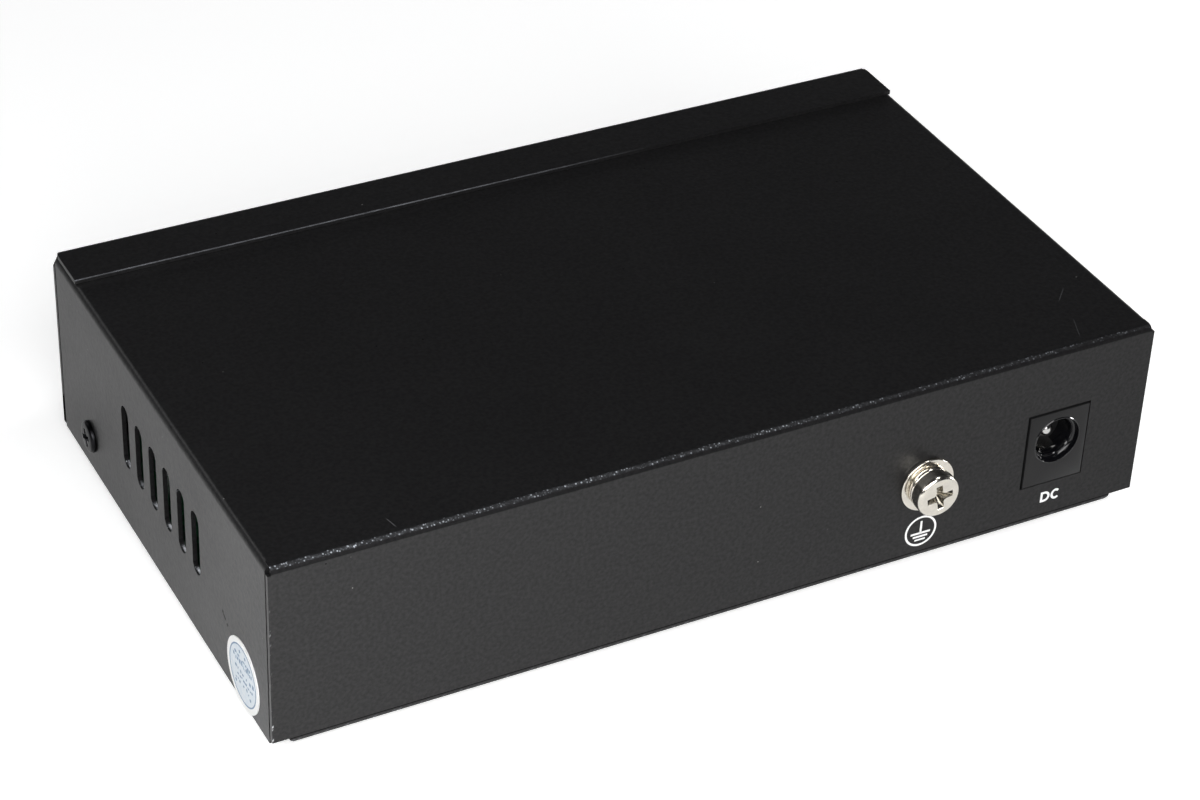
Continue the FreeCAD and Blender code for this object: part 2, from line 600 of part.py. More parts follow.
def make_tray():
    """The folded tray: floor, side and rear flanges, front panel and the lip over the cover."""
    body = new_body("base_tray")
    stub_end = FRONT + s.bend_radius + s.sheet
    lip_top = LIP_UNDER + s.sheet
    lip_end = FRONT + s.lip_depth
    wall_inside = FRONT + s.sheet
    outer, inner = s.bend_radius, INNER_RADIUS
    pad(body, "front_panel_and_lip", "YZ_Plane", -SIDE, SIDE, lambda sketch: folded(sketch, [
        (stub_end, UNDER, None), (FRONT, UNDER, outer), (FRONT, lip_top, outer), (lip_end, lip_top, None),
        (lip_end, LIP_UNDER, None), (wall_inside, LIP_UNDER, inner), (wall_inside, TRAY_FLOOR, inner),
        (stub_end, TRAY_FLOOR, None),
    ]))
    cut_panel_corners(body, stub_end, lip_top, lip_end)
    side_end = TRAY_REAR - s.rear_flange_inset
    flange_top = UNDER + s.flange_rise
    inside = TRAY_SIDE - s.sheet
    pad(body, "floor_and_side_flanges", "XZ_Plane", stub_end, side_end, lambda sketch: folded(sketch, [
        (-TRAY_SIDE, flange_top, None), (-TRAY_SIDE, UNDER, outer), (TRAY_SIDE, UNDER, outer),
        (TRAY_SIDE, flange_top, None), (inside, flange_top, None), (inside, TRAY_FLOOR, inner),
        (-inside, TRAY_FLOOR, inner), (-inside, flange_top, None),
    ]))
    fold_end = SIDE - s.rear_flange_inset
    fold_start = side_end - s.flange_overlap
    pad(body, "rear_flange", "YZ_Plane", -fold_end, fold_end, lambda sketch: folded(sketch, [
        (fold_start, UNDER, None), (TRAY_REAR, UNDER, outer), (TRAY_REAR, flange_top, None),
        (TRAY_REAR - s.sheet, flange_top, None), (TRAY_REAR - s.sheet, TRAY_FLOOR, inner),
        (fold_start, TRAY_FLOOR, None),
    ]))
    cut = s.flange_corner
    for side, corner, inward in (("right", fold_end, fold_end - cut), ("left", -fold_end, cut - fold_end)):
        pocket(body, side + "_flange_corner", "XZ_Plane", side_end, REAR, lambda sketch: outline(
            sketch, [(inward, UNDER), (corner, UNDER), (corner, UNDER + cut)]))
    tab_top = SIDE_SCREW_Z + s.tab_margin
    near = SIDE_SCREW_Y - s.tab_width / 2
    far = SIDE_SCREW_Y + s.tab_width / 2
    low = flange_top - s.sheet
    collar = s.thread_radius + s.thread_clearance + s.collar_wall
    for side, tab_in, tab_out, collar_in, collar_out in (
        ("right", inside, TRAY_SIDE, inside - s.collar_length, inside),
        ("left", -TRAY_SIDE, -inside, -inside, -inside + s.collar_length),
    ):
        pad(body, side + "_tab", "YZ_Plane", tab_in, tab_out, lambda sketch: outline(sketch, [
            (near, low), (far, low), (far, tab_top - s.tab_corner), (far - s.tab_corner, tab_top),
            (near + s.tab_corner, tab_top), (near, tab_top - s.tab_corner),
        ]))
        pad(body, side + "_collar", "YZ_Plane", collar_in, collar_out, lambda sketch: circle(
            sketch, SIDE_SCREW_Y, SIDE_SCREW_Z, collar))
    pocket(body, "tapped_holes", "YZ_Plane", -SIDE, SIDE, lambda sketch: circle(
        sketch, SIDE_SCREW_Y, SIDE_SCREW_Z, s.thread_radius + s.thread_clearance))
    panel_side = SHIELD_SIDE + s.panel_gap
    before_panel = FRONT - s.sheet
    behind_panel = wall_inside + s.sheet
    pocket(body, "port_window", "XZ_Plane", before_panel, behind_panel, lambda sketch: rectangle(
        sketch, BANK_X - panel_side, BANK_X + panel_side, BOARD_TOP - s.panel_gap, SHIELD_TOP + s.panel_gap))
    light = pocket(body, "light_hole", "XZ_Plane", before_panel, behind_panel, lambda sketch: light_outline(
        sketch, s.panel_gap / 2))
    repeat(body, "light_holes", [light], "X_Axis", s.light_count, s.light_pitch)
    under_floor = UNDER - s.sheet
    over_floor = TRAY_FLOOR + s.sheet
    neck_half = (s.keyhole_length + s.keyhole_neck) / 2
    for side, x in (("left", -s.keyhole_span / 2), ("right", s.keyhole_span / 2)):
        pocket(body, side + "_keyhole", "XY_Plane", under_floor, over_floor, lambda sketch: circle(
            sketch, x, -s.keyhole_length / 2, s.keyhole_radius))
        pocket(body, side + "_keyhole_neck", "XY_Plane", under_floor, over_floor,
               lambda sketch: upright_slot(sketch, x, 0.0, s.keyhole_neck, neck_half))
    keep(body, "base_tray")


def make_feet():
    body = new_body("rubber_feet")
    x = SIDE - s.foot_inset
    y = REAR - s.foot_inset
    places = [(-x, -y), (x, -y), (x, y), (-x, y)]
    pad(body, "feet", "XY_Plane", 0.0, s.foot_height, lambda sketch: [
        circle(sketch, px, py, s.foot_radius) for px, py in places])
    keep(body, "rubber_feet")


# Screws and washers. Each is turned about Z, with its seat at the origin and its head upwards.


def cross(half_width, reach):
    """The twelve corners of a cross recess."""
    a = half_width
    b = reach
    return [
        (a, a), (b, a), (b, -a), (a, -a), (a, -b), (-a, -b),
        (-a, -a), (-b, -a), (-b, a), (-a, a), (-a, b), (a, b),
    ]


def make_screw(name, head_radius, head_height, rim, shank, recess_reach, recess_depth):
    """A pan-head screw with a tapered cross recess; rim is (kind, size) of its head's rounding."""
    body = new_body(name)
    revolve(body, name + "_turned", [
        (0.0, -shank), (s.thread_radius, -shank), (s.thread_radius, 0.0), (head_radius, 0.0),
        (head_radius, head_height), (0.0, head_height),
    ])
    if rim is not None:
        kind, size = rim
        round_edges(body, name + "_rim", ring_at(head_height, head_radius), size, kind)
    mouth = new_sketch(body, name + "_recess_mouth", "XY_Plane", head_height)
    outline(mouth, cross(s.recess_arm, recess_reach))
    foot = new_sketch(body, name + "_recess_foot", "XY_Plane", head_height - recess_depth)
    outline(foot, cross(s.recess_arm * s.recess_taper, recess_reach * s.recess_taper))
    before = volume_of(body)
    recess = body.newObject("PartDesign::SubtractiveLoft", name + "_recess")
    recess.Profile = mouth
    recess.Sections = [foot]
    recess.Ruled = True
    body.Tip = recess
    if not volume_of(body) < before:
        raise RuntimeError(f"{name} has no recess")
    return body


def make_case_screws():
    rim = ("Chamfer", s.side_head_height / 2)
    screw = make_screw("case_screw", s.side_head_radius, s.side_head_height, rim,
                       s.side_shank, s.side_head_radius / 2, s.recess_depth)
    group("case_screws", screw, [
        (SIDE, SIDE_SCREW_Y, SIDE_SCREW_Z, Vector(0, 1, 0), 90),
        (-SIDE, SIDE_SCREW_Y, SIDE_SCREW_Z, Vector(0, 1, 0), -90),
    ])


def make_board_screws():
    screw = make_screw("board_screw", s.board_head_radius, s.board_head_height, None,
                       s.board_screw_length, s.board_head_radius / 2, s.recess_depth)
    group("board_screws", screw, [(x, y, BOARD_TOP, UPWARD, 0) for x, y in post_places()])


def ring(name, outer, inner, height):
    body = new_body(name)

    def draw(sketch):
        circle(sketch, 0.0, 0.0, outer)
        circle(sketch, 0.0, 0.0, inner)

    pad(body, name + "_ring", "XY_Plane", 0.0, height, draw)
    return body


def make_earth_point():
    """The earth screw with its split spring washer and flat washer, and the nut behind the wall."""
    outward = Vector(1, 0, 0)
    bore = s.thread_radius + s.hole_clearance
    washer = ring("earth_flat_washer", s.washer_radius, bore, s.washer_sheet)
    place(washer, EARTH_X, REAR, EARTH_Z, outward, -90)
    keep(washer, "earth_flat_washer")
    split = new_body("earth_spring_washer")
    seat = REAR + s.washer_sheet
    sketch = new_sketch(split, "spring_washer_section", "XZ_Plane", 0.0)
    rectangle(sketch, bore, s.spring_washer_radius, 0.0, s.spring_washer_sheet)
    turned = split.newObject("PartDesign::Revolution", "spring_washer_turned")
    turned.Profile = sketch
    turned.ReferenceAxis = (datum(split, "Z_Axis"), [""])
    bind(turned, "Angle", 360 - s.spring_washer_split)
    split.Tip = turned
    place(split, EARTH_X, seat, EARTH_Z, outward, -90)
    keep(split, "earth_spring_washer")
    screw = make_screw("earth_screw", s.earth_head_radius, s.earth_head_height, ("Chamfer", s.earth_rim),
                       s.earth_shank, s.earth_recess_reach, s.earth_recess)
    place(screw, EARTH_X, seat + s.spring_washer_sheet, EARTH_Z, outward, -90)
    keep(screw, "earth_screw")
    nut = new_body("earth_nut")
    pad(nut, "nut_block", "XY_Plane", 0.0, s.nut_height, lambda drawing: hexagon(
        drawing, 0.0, 0.0, s.nut_flats))
    pocket(nut, "nut_thread", "XY_Plane", 0.0, s.nut_height, lambda drawing: circle(
        drawing, 0.0, 0.0, s.thread_radius + s.thread_clearance))
    place(nut, EARTH_X, REAR - s.sheet - s.nut_height, EARTH_Z, outward, -90)
    keep(nut, "earth_nut")


# The supply inlet.


def make_inlet():
    body = new_body("inlet_body")
    half = s.inlet_width / 2
    block_start = REAR - s.inlet_block
    inlet_start = REAR - s.inlet_depth
    high = BOARD_TOP + s.inlet_height
    bore_z = BOARD_TOP + s.inlet_bore_rise
    pad(body, "inlet_block", "XZ_Plane", block_start, REAR, lambda sketch: rectangle(
        sketch, INLET_X - half, INLET_X + half, BOARD_TOP, high))
    barrel = half - s.inlet_shoulder
    pad(body, "inlet_barrel", "XZ_Plane", inlet_start, block_start, lambda sketch: rectangle(
        sketch, INLET_X - barrel, INLET_X + barrel, BOARD_TOP, high - s.inlet_step))
    pocket(body, "inlet_bore", "XZ_Plane", REAR - s.inlet_bore_depth, REAR, lambda sketch: circle(
        sketch, INLET_X, bore_z, s.inlet_bore_radius))

    def mouth(edge):
        round_line = edge.Curve.TypeId == "Part::GeomCircle"
        return round_line and abs(edge.Curve.Center.y - REAR.number) < SAME

    round_edges(body, "inlet_rim", mouth, s.inlet_rim, "Chamfer")
    keep(body, "inlet_body")
    pin = new_body("inlet_pin")
    pin_end = REAR - s.pin_recess
    pad(pin, "pin_shaft", "XZ_Plane", REAR - s.inlet_bore_depth, pin_end, lambda sketch: circle(
        sketch, INLET_X, bore_z, s.pin_radius))

    def tip(edge):
        return edge.Curve.TypeId == "Part::GeomCircle" and abs(edge.Curve.Center.y - pin_end.number) < SAME

    round_edges(pin, "pin_tip", tip, s.pin_radius / 2, "Chamfer")
    keep(pin, "inlet_pin")
    spring = new_body("inlet_spring")
    low = bore_z - s.inlet_bore_radius
    start = REAR - s.inlet_bore_depth
    rest = s.inlet_bore_radius - s.pin_radius
    bow = low + rest / 2
    middle = start + s.inlet_bore_depth / 2
    end = pin_end - s.inlet_rim
    sheet = s.spring_sheet
    half = s.spring_width / 2
    pad(spring, "spring_leaf", "YZ_Plane", INLET_X - half, INLET_X + half, lambda sketch: outline(sketch, [
        (start, low + sheet), (middle, bow), (end, low + sheet * 2),
        (end, low + sheet * 3), (middle, bow + sheet), (start, low + sheet * 2),
    ]))
    keep(spring, "inlet_spring")


# The circuit board and what carries it.


def post_places():
    x = SIDE - s.post_from_side
    near = FRONT + s.post_front_setback
    far = REAR - s.post_rear_setback
    return [(-x, near), (x, near), (x, far), (-x, far)]


def make_board():
    body = new_body("circuit_board")
    edge = TRAY_SIDE - s.sheet - s.board_gap
    near = FRONT + s.sheet + s.board_gap
    far = TRAY_REAR - s.sheet - s.board_gap
    low = SIDE_SCREW_Y - s.board_notch_width / 2
    high = SIDE_SCREW_Y + s.board_notch_width / 2
    notch = edge - s.board_notch_depth
    pad(body, "board_sheet", "XY_Plane", BOARD_UNDER, BOARD_TOP, lambda sketch: outline(sketch, [
        (-edge, near), (edge, near), (edge, low), (notch, low), (notch, high), (edge, high),
        (edge, far), (-edge, far), (-edge, high), (-notch, high), (-notch, low), (-edge, low),
    ]))
    pocket(body, "board_holes", "XY_Plane", BOARD_UNDER, BOARD_TOP, lambda sketch: [
        circle(sketch, x, y, s.thread_radius + s.hole_clearance) for x, y in post_places()])
    keep(body, "circuit_board")


def make_posts():
    body = new_body("board_posts")

    def draw(sketch):
        for x, y in post_places():
            hexagon(sketch, x, y, s.post_flats)
            circle(sketch, x, y, s.thread_radius + s.thread_clearance)

    pad(body, "posts", "XY_Plane", TRAY_FLOOR, BOARD_UNDER, draw)
    keep(body, "board_posts")


# The bank of network ports.


def port_outline(sketch, grow):
    """One port's mouth, with its stepped latch channel below, made larger all round by grow."""
    x = FIRST_PORT_X
    wide = s.port_width / 2 + grow
    latch = s.latch_width / 2 + grow
    tip = s.latch_tip_width / 2 + grow
    roof = PORT_ROOF + grow
    floor = PORT_FLOOR - grow
    step = floor - s.latch_drop
    sill = step - s.latch_tip_drop
    outline(sketch, [
        (x - wide, roof), (x + wide, roof), (x + wide, floor), (x + latch, floor),
        (x + latch, step), (x + tip, step), (x + tip, sill), (x - tip, sill),
        (x - tip, step), (x - latch, step), (x - latch, floor), (x - wide, floor),
    ])


def make_ports():
    back = BANK_FRONT + s.bank_depth
    housing = new_body("port_housing")
    pad(housing, "bank_block", "XZ_Plane", BANK_FRONT, back, lambda sketch: rectangle(
        sketch, BANK_X - BANK_WIDTH / 2, BANK_X + BANK_WIDTH / 2, BOARD_TOP, BOARD_TOP + s.bank_height))
    cavity_end = BANK_FRONT + s.port_depth
    cavity = pocket(housing, "port_cavity", "XZ_Plane", BANK_FRONT, cavity_end, lambda sketch: port_outline(
        sketch, 0.0))
    repeat(housing, "port_cavities", [cavity], "X_Axis", s.port_count, s.port_pitch)
    keep(housing, "port_housing")
    shield = new_body("port_shield")
    front = BANK_FRONT - s.shield_gap - s.shield_sheet
    shield_back = back + s.shield_gap + s.shield_sheet
    pad(shield, "shield_block", "XZ_Plane", front, shield_back, lambda sketch: rectangle(
        sketch, BANK_X - SHIELD_SIDE, BANK_X + SHIELD_SIDE, BOARD_TOP, SHIELD_TOP))
    inside = SHIELD_SIDE - s.shield_sheet
    front_end = front + s.shield_sheet
    pocket(shield, "shield_room", "XZ_Plane", front_end, back + s.shield_gap, lambda sketch: rectangle(
        sketch, BANK_X - inside, BANK_X + inside, BOARD_TOP, SHIELD_TOP - s.shield_sheet))
    mouth = pocket(shield, "shield_mouth", "XZ_Plane", front, front_end, lambda sketch: port_outline(
        sketch, s.shield_gap))
    repeat(shield, "shield_mouths", [mouth], "X_Axis", s.port_count, s.port_pitch)
    keep(shield, "port_shield")
    contacts = new_body("port_contacts")
    tip = BANK_FRONT + s.contact_setback
    first = FIRST_PORT_X - (s.contact_count - 1) * s.contact_pitch / 2 - s.contact_width / 2
    slope = tip + s.contact_end
    foot = slope + s.contact_run
    high = PORT_ROOF - s.shield_gap
    low = high - s.contact_fall
    sheet = s.contact_sheet
    last = first + s.contact_width
    leaf = pad(contacts, "contact_leaf", "YZ_Plane", first, last, lambda sketch: outline(sketch, [
        (tip, high), (slope, high), (foot, low),
        (foot, low - sheet), (slope, high - sheet), (tip, high - sheet),
    ]))
    rows = contacts.newObject("PartDesign::MultiTransform", "contact_rows")
    rows.Originals = [leaf]
    steps = []
    for name, count, pitch in (
        ("contacts_of_a_port", s.contact_count, s.contact_pitch),
        ("ports_of_the_bank", s.port_count, s.port_pitch),
    ):
        step = contacts.newObject("PartDesign::LinearPattern", name)
        step.Direction = (datum(contacts, "X_Axis"), [""])
        bind(step, "Length", (count - 1) * pitch)
        bind(step, "Occurrences", count)
        steps.append(step)
    rows.Transformations = steps
    contacts.Tip = rows
    keep(contacts, "port_contacts")


# The indicator lights.


def light_outline(sketch, grow):
    """The face of the first light, made larger all round by grow."""
    wide = s.light_width / 2 + grow
    high = s.light_height / 2 + grow
    rectangle(sketch, FIRST_LIGHT_X - wide, FIRST_LIGHT_X + wide, LIGHT_Z - high, LIGHT_Z + high)


def make_lights():
    panel_inside = FRONT + s.sheet
    holder_front = panel_inside + s.seam_gap
    holder_top = LIGHT_Z + s.light_height / 2 + s.holder_wall
    holder_half = s.light_width / 2 + s.holder_wall
    tip = FRONT - s.light_reach
    light_end = tip + s.light_length
    holders = new_body("light_holders")
    holder_back = holder_front + s.holder_depth
    block = pad(holders, "holder_block", "XZ_Plane", holder_front, holder_back, lambda sketch: rectangle(
        sketch, FIRST_LIGHT_X - holder_half, FIRST_LIGHT_X + holder_half, BOARD_TOP, holder_top))
    hole = pocket(holders, "holder_bore", "XZ_Plane", holder_front, light_end, lambda sketch: light_outline(
        sketch, s.thread_clearance))
    repeat(holders, "holder_row", [block, hole], "X_Axis", s.light_count, s.light_pitch)
    keep(holders, "light_holders")
    lights = new_body("status_lights")
    lens = pad(lights, "light_lens", "XZ_Plane", tip, light_end, lambda sketch: light_outline(
        sketch, 0.0))

    def face_rim(edge):
        return all(abs(v.Point.y - tip.number) < SAME for v in edge.Vertexes)

    bevel = round_edges(lights, "light_bevel", face_rim, s.light_bevel, "Chamfer")
    repeat(lights, "light_row", [lens, bevel], "X_Axis", s.light_count, s.light_pitch)
    keep(lights, "status_lights")


# What stands on the board.


def block_body(name, width, depth, height, chamfer=None):
    """A moulded block that stands on Z = 0 about its own middle."""
    body = new_body(name)
    pad(body, name + "_block", "XY_Plane", 0.0, height, lambda sketch: rectangle(
        sketch, -width / 2, width / 2, -depth / 2, depth / 2))
    if chamfer is not None:
        high = number_of(height)

        def upper(edge):
            return all(abs(v.Point.z - high) < SAME for v in edge.Vertexes)

        round_edges(body, name + "_edges", upper, chamfer, "Chamfer")
    return body


def lead_rows(body, name, half_x, half_y, count_x, count_y):
    """Two opposite rows of leads, or four, round a chip's foot."""
    if count_x is not None:
        start = -(count_x - 1) * s.lead_pitch / 2 - s.lead_width / 2
        leads = pad(body, name + "_front_leads", "XY_Plane", 0.0, s.lead_sheet, lambda sketch: [
            rectangle(sketch, start, start + s.lead_width, -half_y - s.lead_reach, -half_y),
            rectangle(sketch, start, start + s.lead_width, half_y, half_y + s.lead_reach)])
        repeat(body, name + "_front_row", [leads], "X_Axis", count_x, s.lead_pitch)
    if count_y is not None:
        begin = -(count_y - 1) * s.lead_pitch / 2 - s.lead_width / 2
        leads = pad(body, name + "_side_leads", "XY_Plane", 0.0, s.lead_sheet, lambda sketch: [
            rectangle(sketch, -half_x - s.lead_reach, -half_x, begin, begin + s.lead_width),
            rectangle(sketch, half_x, half_x + s.lead_reach, begin, begin + s.lead_width)])
        repeat(body, name + "_side_row", [leads], "Y_Axis", count_y, s.lead_pitch)


def make_chips():
    half = s.chip_side / 2
    chip = block_body("switch_chip", s.chip_side, s.chip_side, s.chip_height, s.chip_chamfer)
    chip_y = REAR - s.chip_setback
    place(chip, CHIP_X, chip_y, BOARD_TOP)
    keep(chip, "switch_chip")
    leads = new_body("switch_chip_leads")
    lead_rows(leads, "switch_chip", half, half, s.chip_leads, s.chip_leads)
    place(leads, CHIP_X, chip_y, BOARD_TOP)
    keep(leads, "switch_chip_leads")
    for name, x, y in (
        ("power_chip", INLET_X + s.power_chip_offset, REAR - s.power_chip_setback),
        ("memory_chip", CHIP_X + s.memory_chip_offset, REAR - s.memory_chip_setback),
    ):
        wide, long = s.small_chip_width, s.small_chip_length
        chip = block_body(name, wide, long, s.small_chip_height, s.chip_chamfer)
        lead_rows(chip, name, wide / 2, long / 2, None, s.small_chip_leads)
        place(chip, x, y, BOARD_TOP)
        keep(chip, name)


def make_power_parts():
    can = new_body("smoothing_capacitor")
    revolve(can, "can_turned", [
        (0.0, 0.0), (s.can_radius, 0.0), (s.can_radius, s.can_height - s.can_edge),
        (s.can_radius - s.can_edge, s.can_height), (0.0, s.can_height),
    ])
    can_x = INLET_X + s.can_offset
    can_y = REAR - s.can_setback
    group("smoothing_capacitors", can, [
        (can_x, can_y, BOARD_TOP, UPWARD, 0),
        (can_x, can_y - s.can_pitch, BOARD_TOP, UPWARD, 0),
    ])
    coil = block_body("power_inductor", s.coil_side, s.coil_side, s.coil_height, s.can_edge)
    place(coil, INLET_X + s.coil_offset, REAR - s.coil_setback, BOARD_TOP)
    keep(coil, "power_inductor")
    diode = block_body("supply_diode", s.diode_width, s.diode_length, s.diode_height, s.chip_chamfer)
    place(diode, INLET_X, REAR - s.diode_setback, BOARD_TOP)
    keep(diode, "supply_diode")


def make_transformers():
    body = new_body("line_transformers")
    y = FRONT + s.transformer_setback
    half = s.transformer_width / 2
    deep = s.transformer_depth / 2
    top = BOARD_TOP + s.transformer_height
    block = pad(body, "transformer_block", "XY_Plane", BOARD_TOP, top, lambda sketch: rectangle(
        sketch, FIRST_PORT_X - half, FIRST_PORT_X + half, y - deep, y + deep))
    repeat(body, "transformer_row", [block], "X_Axis", s.port_count, s.port_pitch)
    keep(body, "line_transformers")


def make_crystal():
    body = new_body("clock_crystal")
    round_end = s.crystal_width / 2
    pad(body, "crystal_can", "XY_Plane", 0.0, s.crystal_height, lambda sketch: upright_slot(
        sketch, 0.0, 0.0, round_end, s.crystal_length / 2))
    place(body, CHIP_X, REAR - s.crystal_setback, BOARD_TOP, UPWARD, 90)
    keep(body, "clock_crystal")


def make_sticker():
    """The round seal on the side wall, its lower edge folded in under the cover."""
    body = new_body("seal_sticker")
    y = FRONT + s.sticker_setback
    z = UNDER + s.sticker_rise
    outer = SIDE + s.sticker_sheet
    pad(body, "sticker_disc", "YZ_Plane", SIDE, outer, lambda sketch: circle(sketch, y, z, s.sticker_radius))
    fold = COVER_EDGE - s.sticker_sheet
    pocket(body, "sticker_trim", "YZ_Plane", SIDE, outer, lambda sketch: rectangle(
        sketch, y - s.sticker_radius, y + s.sticker_radius, z - s.sticker_radius - s.sticker_flap, fold))
    pad(body, "sticker_flap", "XY_Plane", fold, COVER_EDGE, lambda sketch: rectangle(
        sketch, SIDE - s.sticker_flap, outer, y - s.sticker_flap_half, y + s.sticker_flap_half))
    keep(body, "seal_sticker")


def check_document():
    """Stop if any object failed to build, or any node has no valid solid."""
    doc.recompute()
    for item in doc.Objects:
        if "Invalid" in item.State or "Error" in item.State:
            raise RuntimeError(f"{item.Name} failed: {item.State}")
    for node in NODES:
        shape = node.Shape
        if shape.isNull() or not shape.isValid() or not shape.Solids:
            raise RuntimeError(f"{node.Label} has no valid solid")


def write_nodes():
    os.makedirs("parts", exist_ok=True)
    for node in NODES:
        node.Shape.exportStep(f"parts/{node.Label}.step")
        print(f"{node.Label}: {len(node.Shape.Solids)} solids, {node.Shape.Volume:.2f} mm3")


make_cover()
make_tray()
make_feet()
make_case_screws()
make_earth_point()
make_inlet()
make_board()
make_posts()
make_board_screws()
make_ports()
make_lights()
make_chips()
make_power_parts()
make_transformers()
make_crystal()
make_sticker()
check_document()
write_nodes()
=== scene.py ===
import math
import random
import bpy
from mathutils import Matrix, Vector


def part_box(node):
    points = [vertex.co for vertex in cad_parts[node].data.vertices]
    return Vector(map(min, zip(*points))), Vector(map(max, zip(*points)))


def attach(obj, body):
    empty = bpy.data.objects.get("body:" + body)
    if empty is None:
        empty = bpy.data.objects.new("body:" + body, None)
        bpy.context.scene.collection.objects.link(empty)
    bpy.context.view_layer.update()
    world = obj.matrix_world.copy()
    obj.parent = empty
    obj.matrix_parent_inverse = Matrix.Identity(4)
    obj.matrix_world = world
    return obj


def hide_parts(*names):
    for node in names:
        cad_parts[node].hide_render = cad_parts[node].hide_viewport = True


bl_info = {
    "name": "Metal-cased network switch",
    "version": (1, 0, 0),
    "blender": (4, 5, 0),
    "location": "3D Viewport > Sidebar > Switch",
    "description": "Finishes the pieces of a small metal-cased network switch and sets them on a studio floor",
    "category": "Object",
}

from collections import namedtuple

import bmesh
import bpy
from bpy.props import FloatProperty, FloatVectorProperty, IntProperty, PointerProperty
from mathutils import Matrix, Vector

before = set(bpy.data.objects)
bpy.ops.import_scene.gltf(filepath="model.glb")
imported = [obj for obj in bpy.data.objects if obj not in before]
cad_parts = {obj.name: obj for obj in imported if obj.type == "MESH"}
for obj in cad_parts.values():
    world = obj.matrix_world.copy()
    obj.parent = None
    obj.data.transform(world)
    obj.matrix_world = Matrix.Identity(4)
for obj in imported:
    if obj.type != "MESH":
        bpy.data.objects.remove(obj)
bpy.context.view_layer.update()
MM = 0.001
FULL_TURN = 2 * math.pi
RIGHT, REARWARD, UP = Vector((1, 0, 0)), Vector((0, 1, 0)), Vector((0, 0, 1))
# Edges of a made piece that turn by more than this stay sharp.
CREASE = math.radians(35)
# Turns a piece made standing on its seat, pointing up, so that it points away from a wall.
OUT_OF_REAR = Matrix.Rotation(-math.pi / 2, 4, "X")
OUT_OF_RIGHT = Matrix.Rotation(math.pi / 2, 4, "Y")
OUT_OF_LEFT = Matrix.Rotation(-math.pi / 2, 4, "Y")


def middle(node):
    low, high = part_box(node)
    return (Vector(low) + Vector(high)) / 2


def corners(node):
    low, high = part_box(node)
    return Vector(low), Vector(high)


def outward(node, y):
    """Stands a piece at y on the node's axis, pointing out of the rear wall."""
    axis = middle(node)
    return Matrix.Translation((axis.x, y, axis.z)) @ OUT_OF_REAR


# Sizes and colours that a user may change.


def length(name, description, default):
    return FloatProperty(name=name, description=description, default=default, min=0.0, unit="LENGTH", precision=5)


def offset(name, description, default):
    return FloatProperty(name=name, description=description, default=default, unit="LENGTH")


def angle(name, description, degrees):
    return FloatProperty(name=name, description=description, default=math.radians(degrees), subtype="ANGLE")


def power(name, description, default):
    return FloatProperty(name=name, description=description, default=default, min=0, unit="POWER")


def colour(name, what, default):
    return FloatVectorProperty(
        name=name, description=f"Colour of {what}", default=default, subtype="COLOR", min=0, max=1)


def share(name, description, default):
    return FloatProperty(name=name, description=description, default=default, min=0, max=1, subtype="FACTOR")


class CaseSettings(bpy.types.PropertyGroup):
    paint: colour("Paint", "the powder coat", (0.0088, 0.0086, 0.0090))
    gloss: share("Roughness", "Roughness of the powder coat", 0.36)
    sheen: share("Sheen", "Strength of the powder coat's reflection, neutral at a half", 0.42)
    grain: length("Grain", "Distance between the bumps of the powder coat", 0.34 * MM)
    relief: length("Relief", "Height of the bumps of the powder coat", 0.012 * MM)
    edge: length("Edge", "Rounding of the painted cut edges", 0.12 * MM)
    dust: share("Dust", "How much light dust lies on the paint", 0.5)
    wear: share("Edge wear", "How far the edges are rubbed and chipped", 0.8)
    bare: colour("Bare edge", "the rubbed edges", (0.30, 0.31, 0.34))


class EarthSettings(bpy.types.PropertyGroup):
    plating: colour("Plating", "the nickel plating", (0.83, 0.79, 0.71))
    pitch: length("Thread pitch", "From turn to turn of the thread", 0.5 * MM)
    thread: length("Thread depth", "Depth of the thread", 0.3 * MM)
    rim: length("Rim", "Rounding of the head's rim", 0.6 * MM)
    arm: length("Recess arm", "Half the width of an arm of the cross recess", 0.46 * MM)
    reach: length("Recess reach", "Middle of the head to the end of a recess arm", 1.85 * MM)
    depth: length("Recess depth", "Depth of the cross recess", 1.35 * MM)
    shade: share("Recess shade", "How much of the plating's colour is left in the recess", 0.6)
    turn: angle("Turn", "How far the screw is turned", 9)


class CaseScrewSettings(bpy.types.PropertyGroup):
    finish: colour("Finish", "the black zinc on the case screws", (0.02, 0.02, 0.022))
    rim: length("Rim", "Rounding of a case screw's head", 0.42 * MM)
    arm: length("Recess arm", "Half the width of an arm of the cross recess", 0.34 * MM)
    reach: length("Recess reach", "Middle of the head to the end of a recess arm", 1.25 * MM)
    depth: length("Recess depth", "Depth of the cross recess", 0.9 * MM)


class InletSettings(bpy.types.PropertyGroup):
    moulding: colour("Moulding", "the inlet's plastic", (0.0098, 0.0097, 0.0102))
    sleeve: colour("Sleeve", "the polished sleeve in the bore", (0.004, 0.004, 0.005))
    metal: colour("Contacts", "the inlet's contacts", (0.75, 0.74, 0.72))
    throat: length("Throat", "Radius of the sleeve inside the bore", 2.62 * MM)
    recess: length("Pin recess", "Face of the inlet to the tip of the pin", 1.75 * MM)
    sheen: share("Sheen", "How strongly the block's moulding reflects", 0.25)


class MarkSettings(bpy.types.PropertyGroup):
    ink: colour("Ink", "the screen-printed marks", (0.98, 0.98, 0.97))
    film: length("Ink film", "Thickness of the printed ink", 0.02 * MM)
    letters: length("Letter height", "Height of the letters under the inlet", 1.62 * MM)
    weight: length("Letter weight", "Line width of the letters", 0.34 * MM)
    sign: length("Sign", "Diameter of the earth sign", 4.7 * MM)
    stroke: length("Stroke", "Line width of the earth sign", 0.29 * MM)


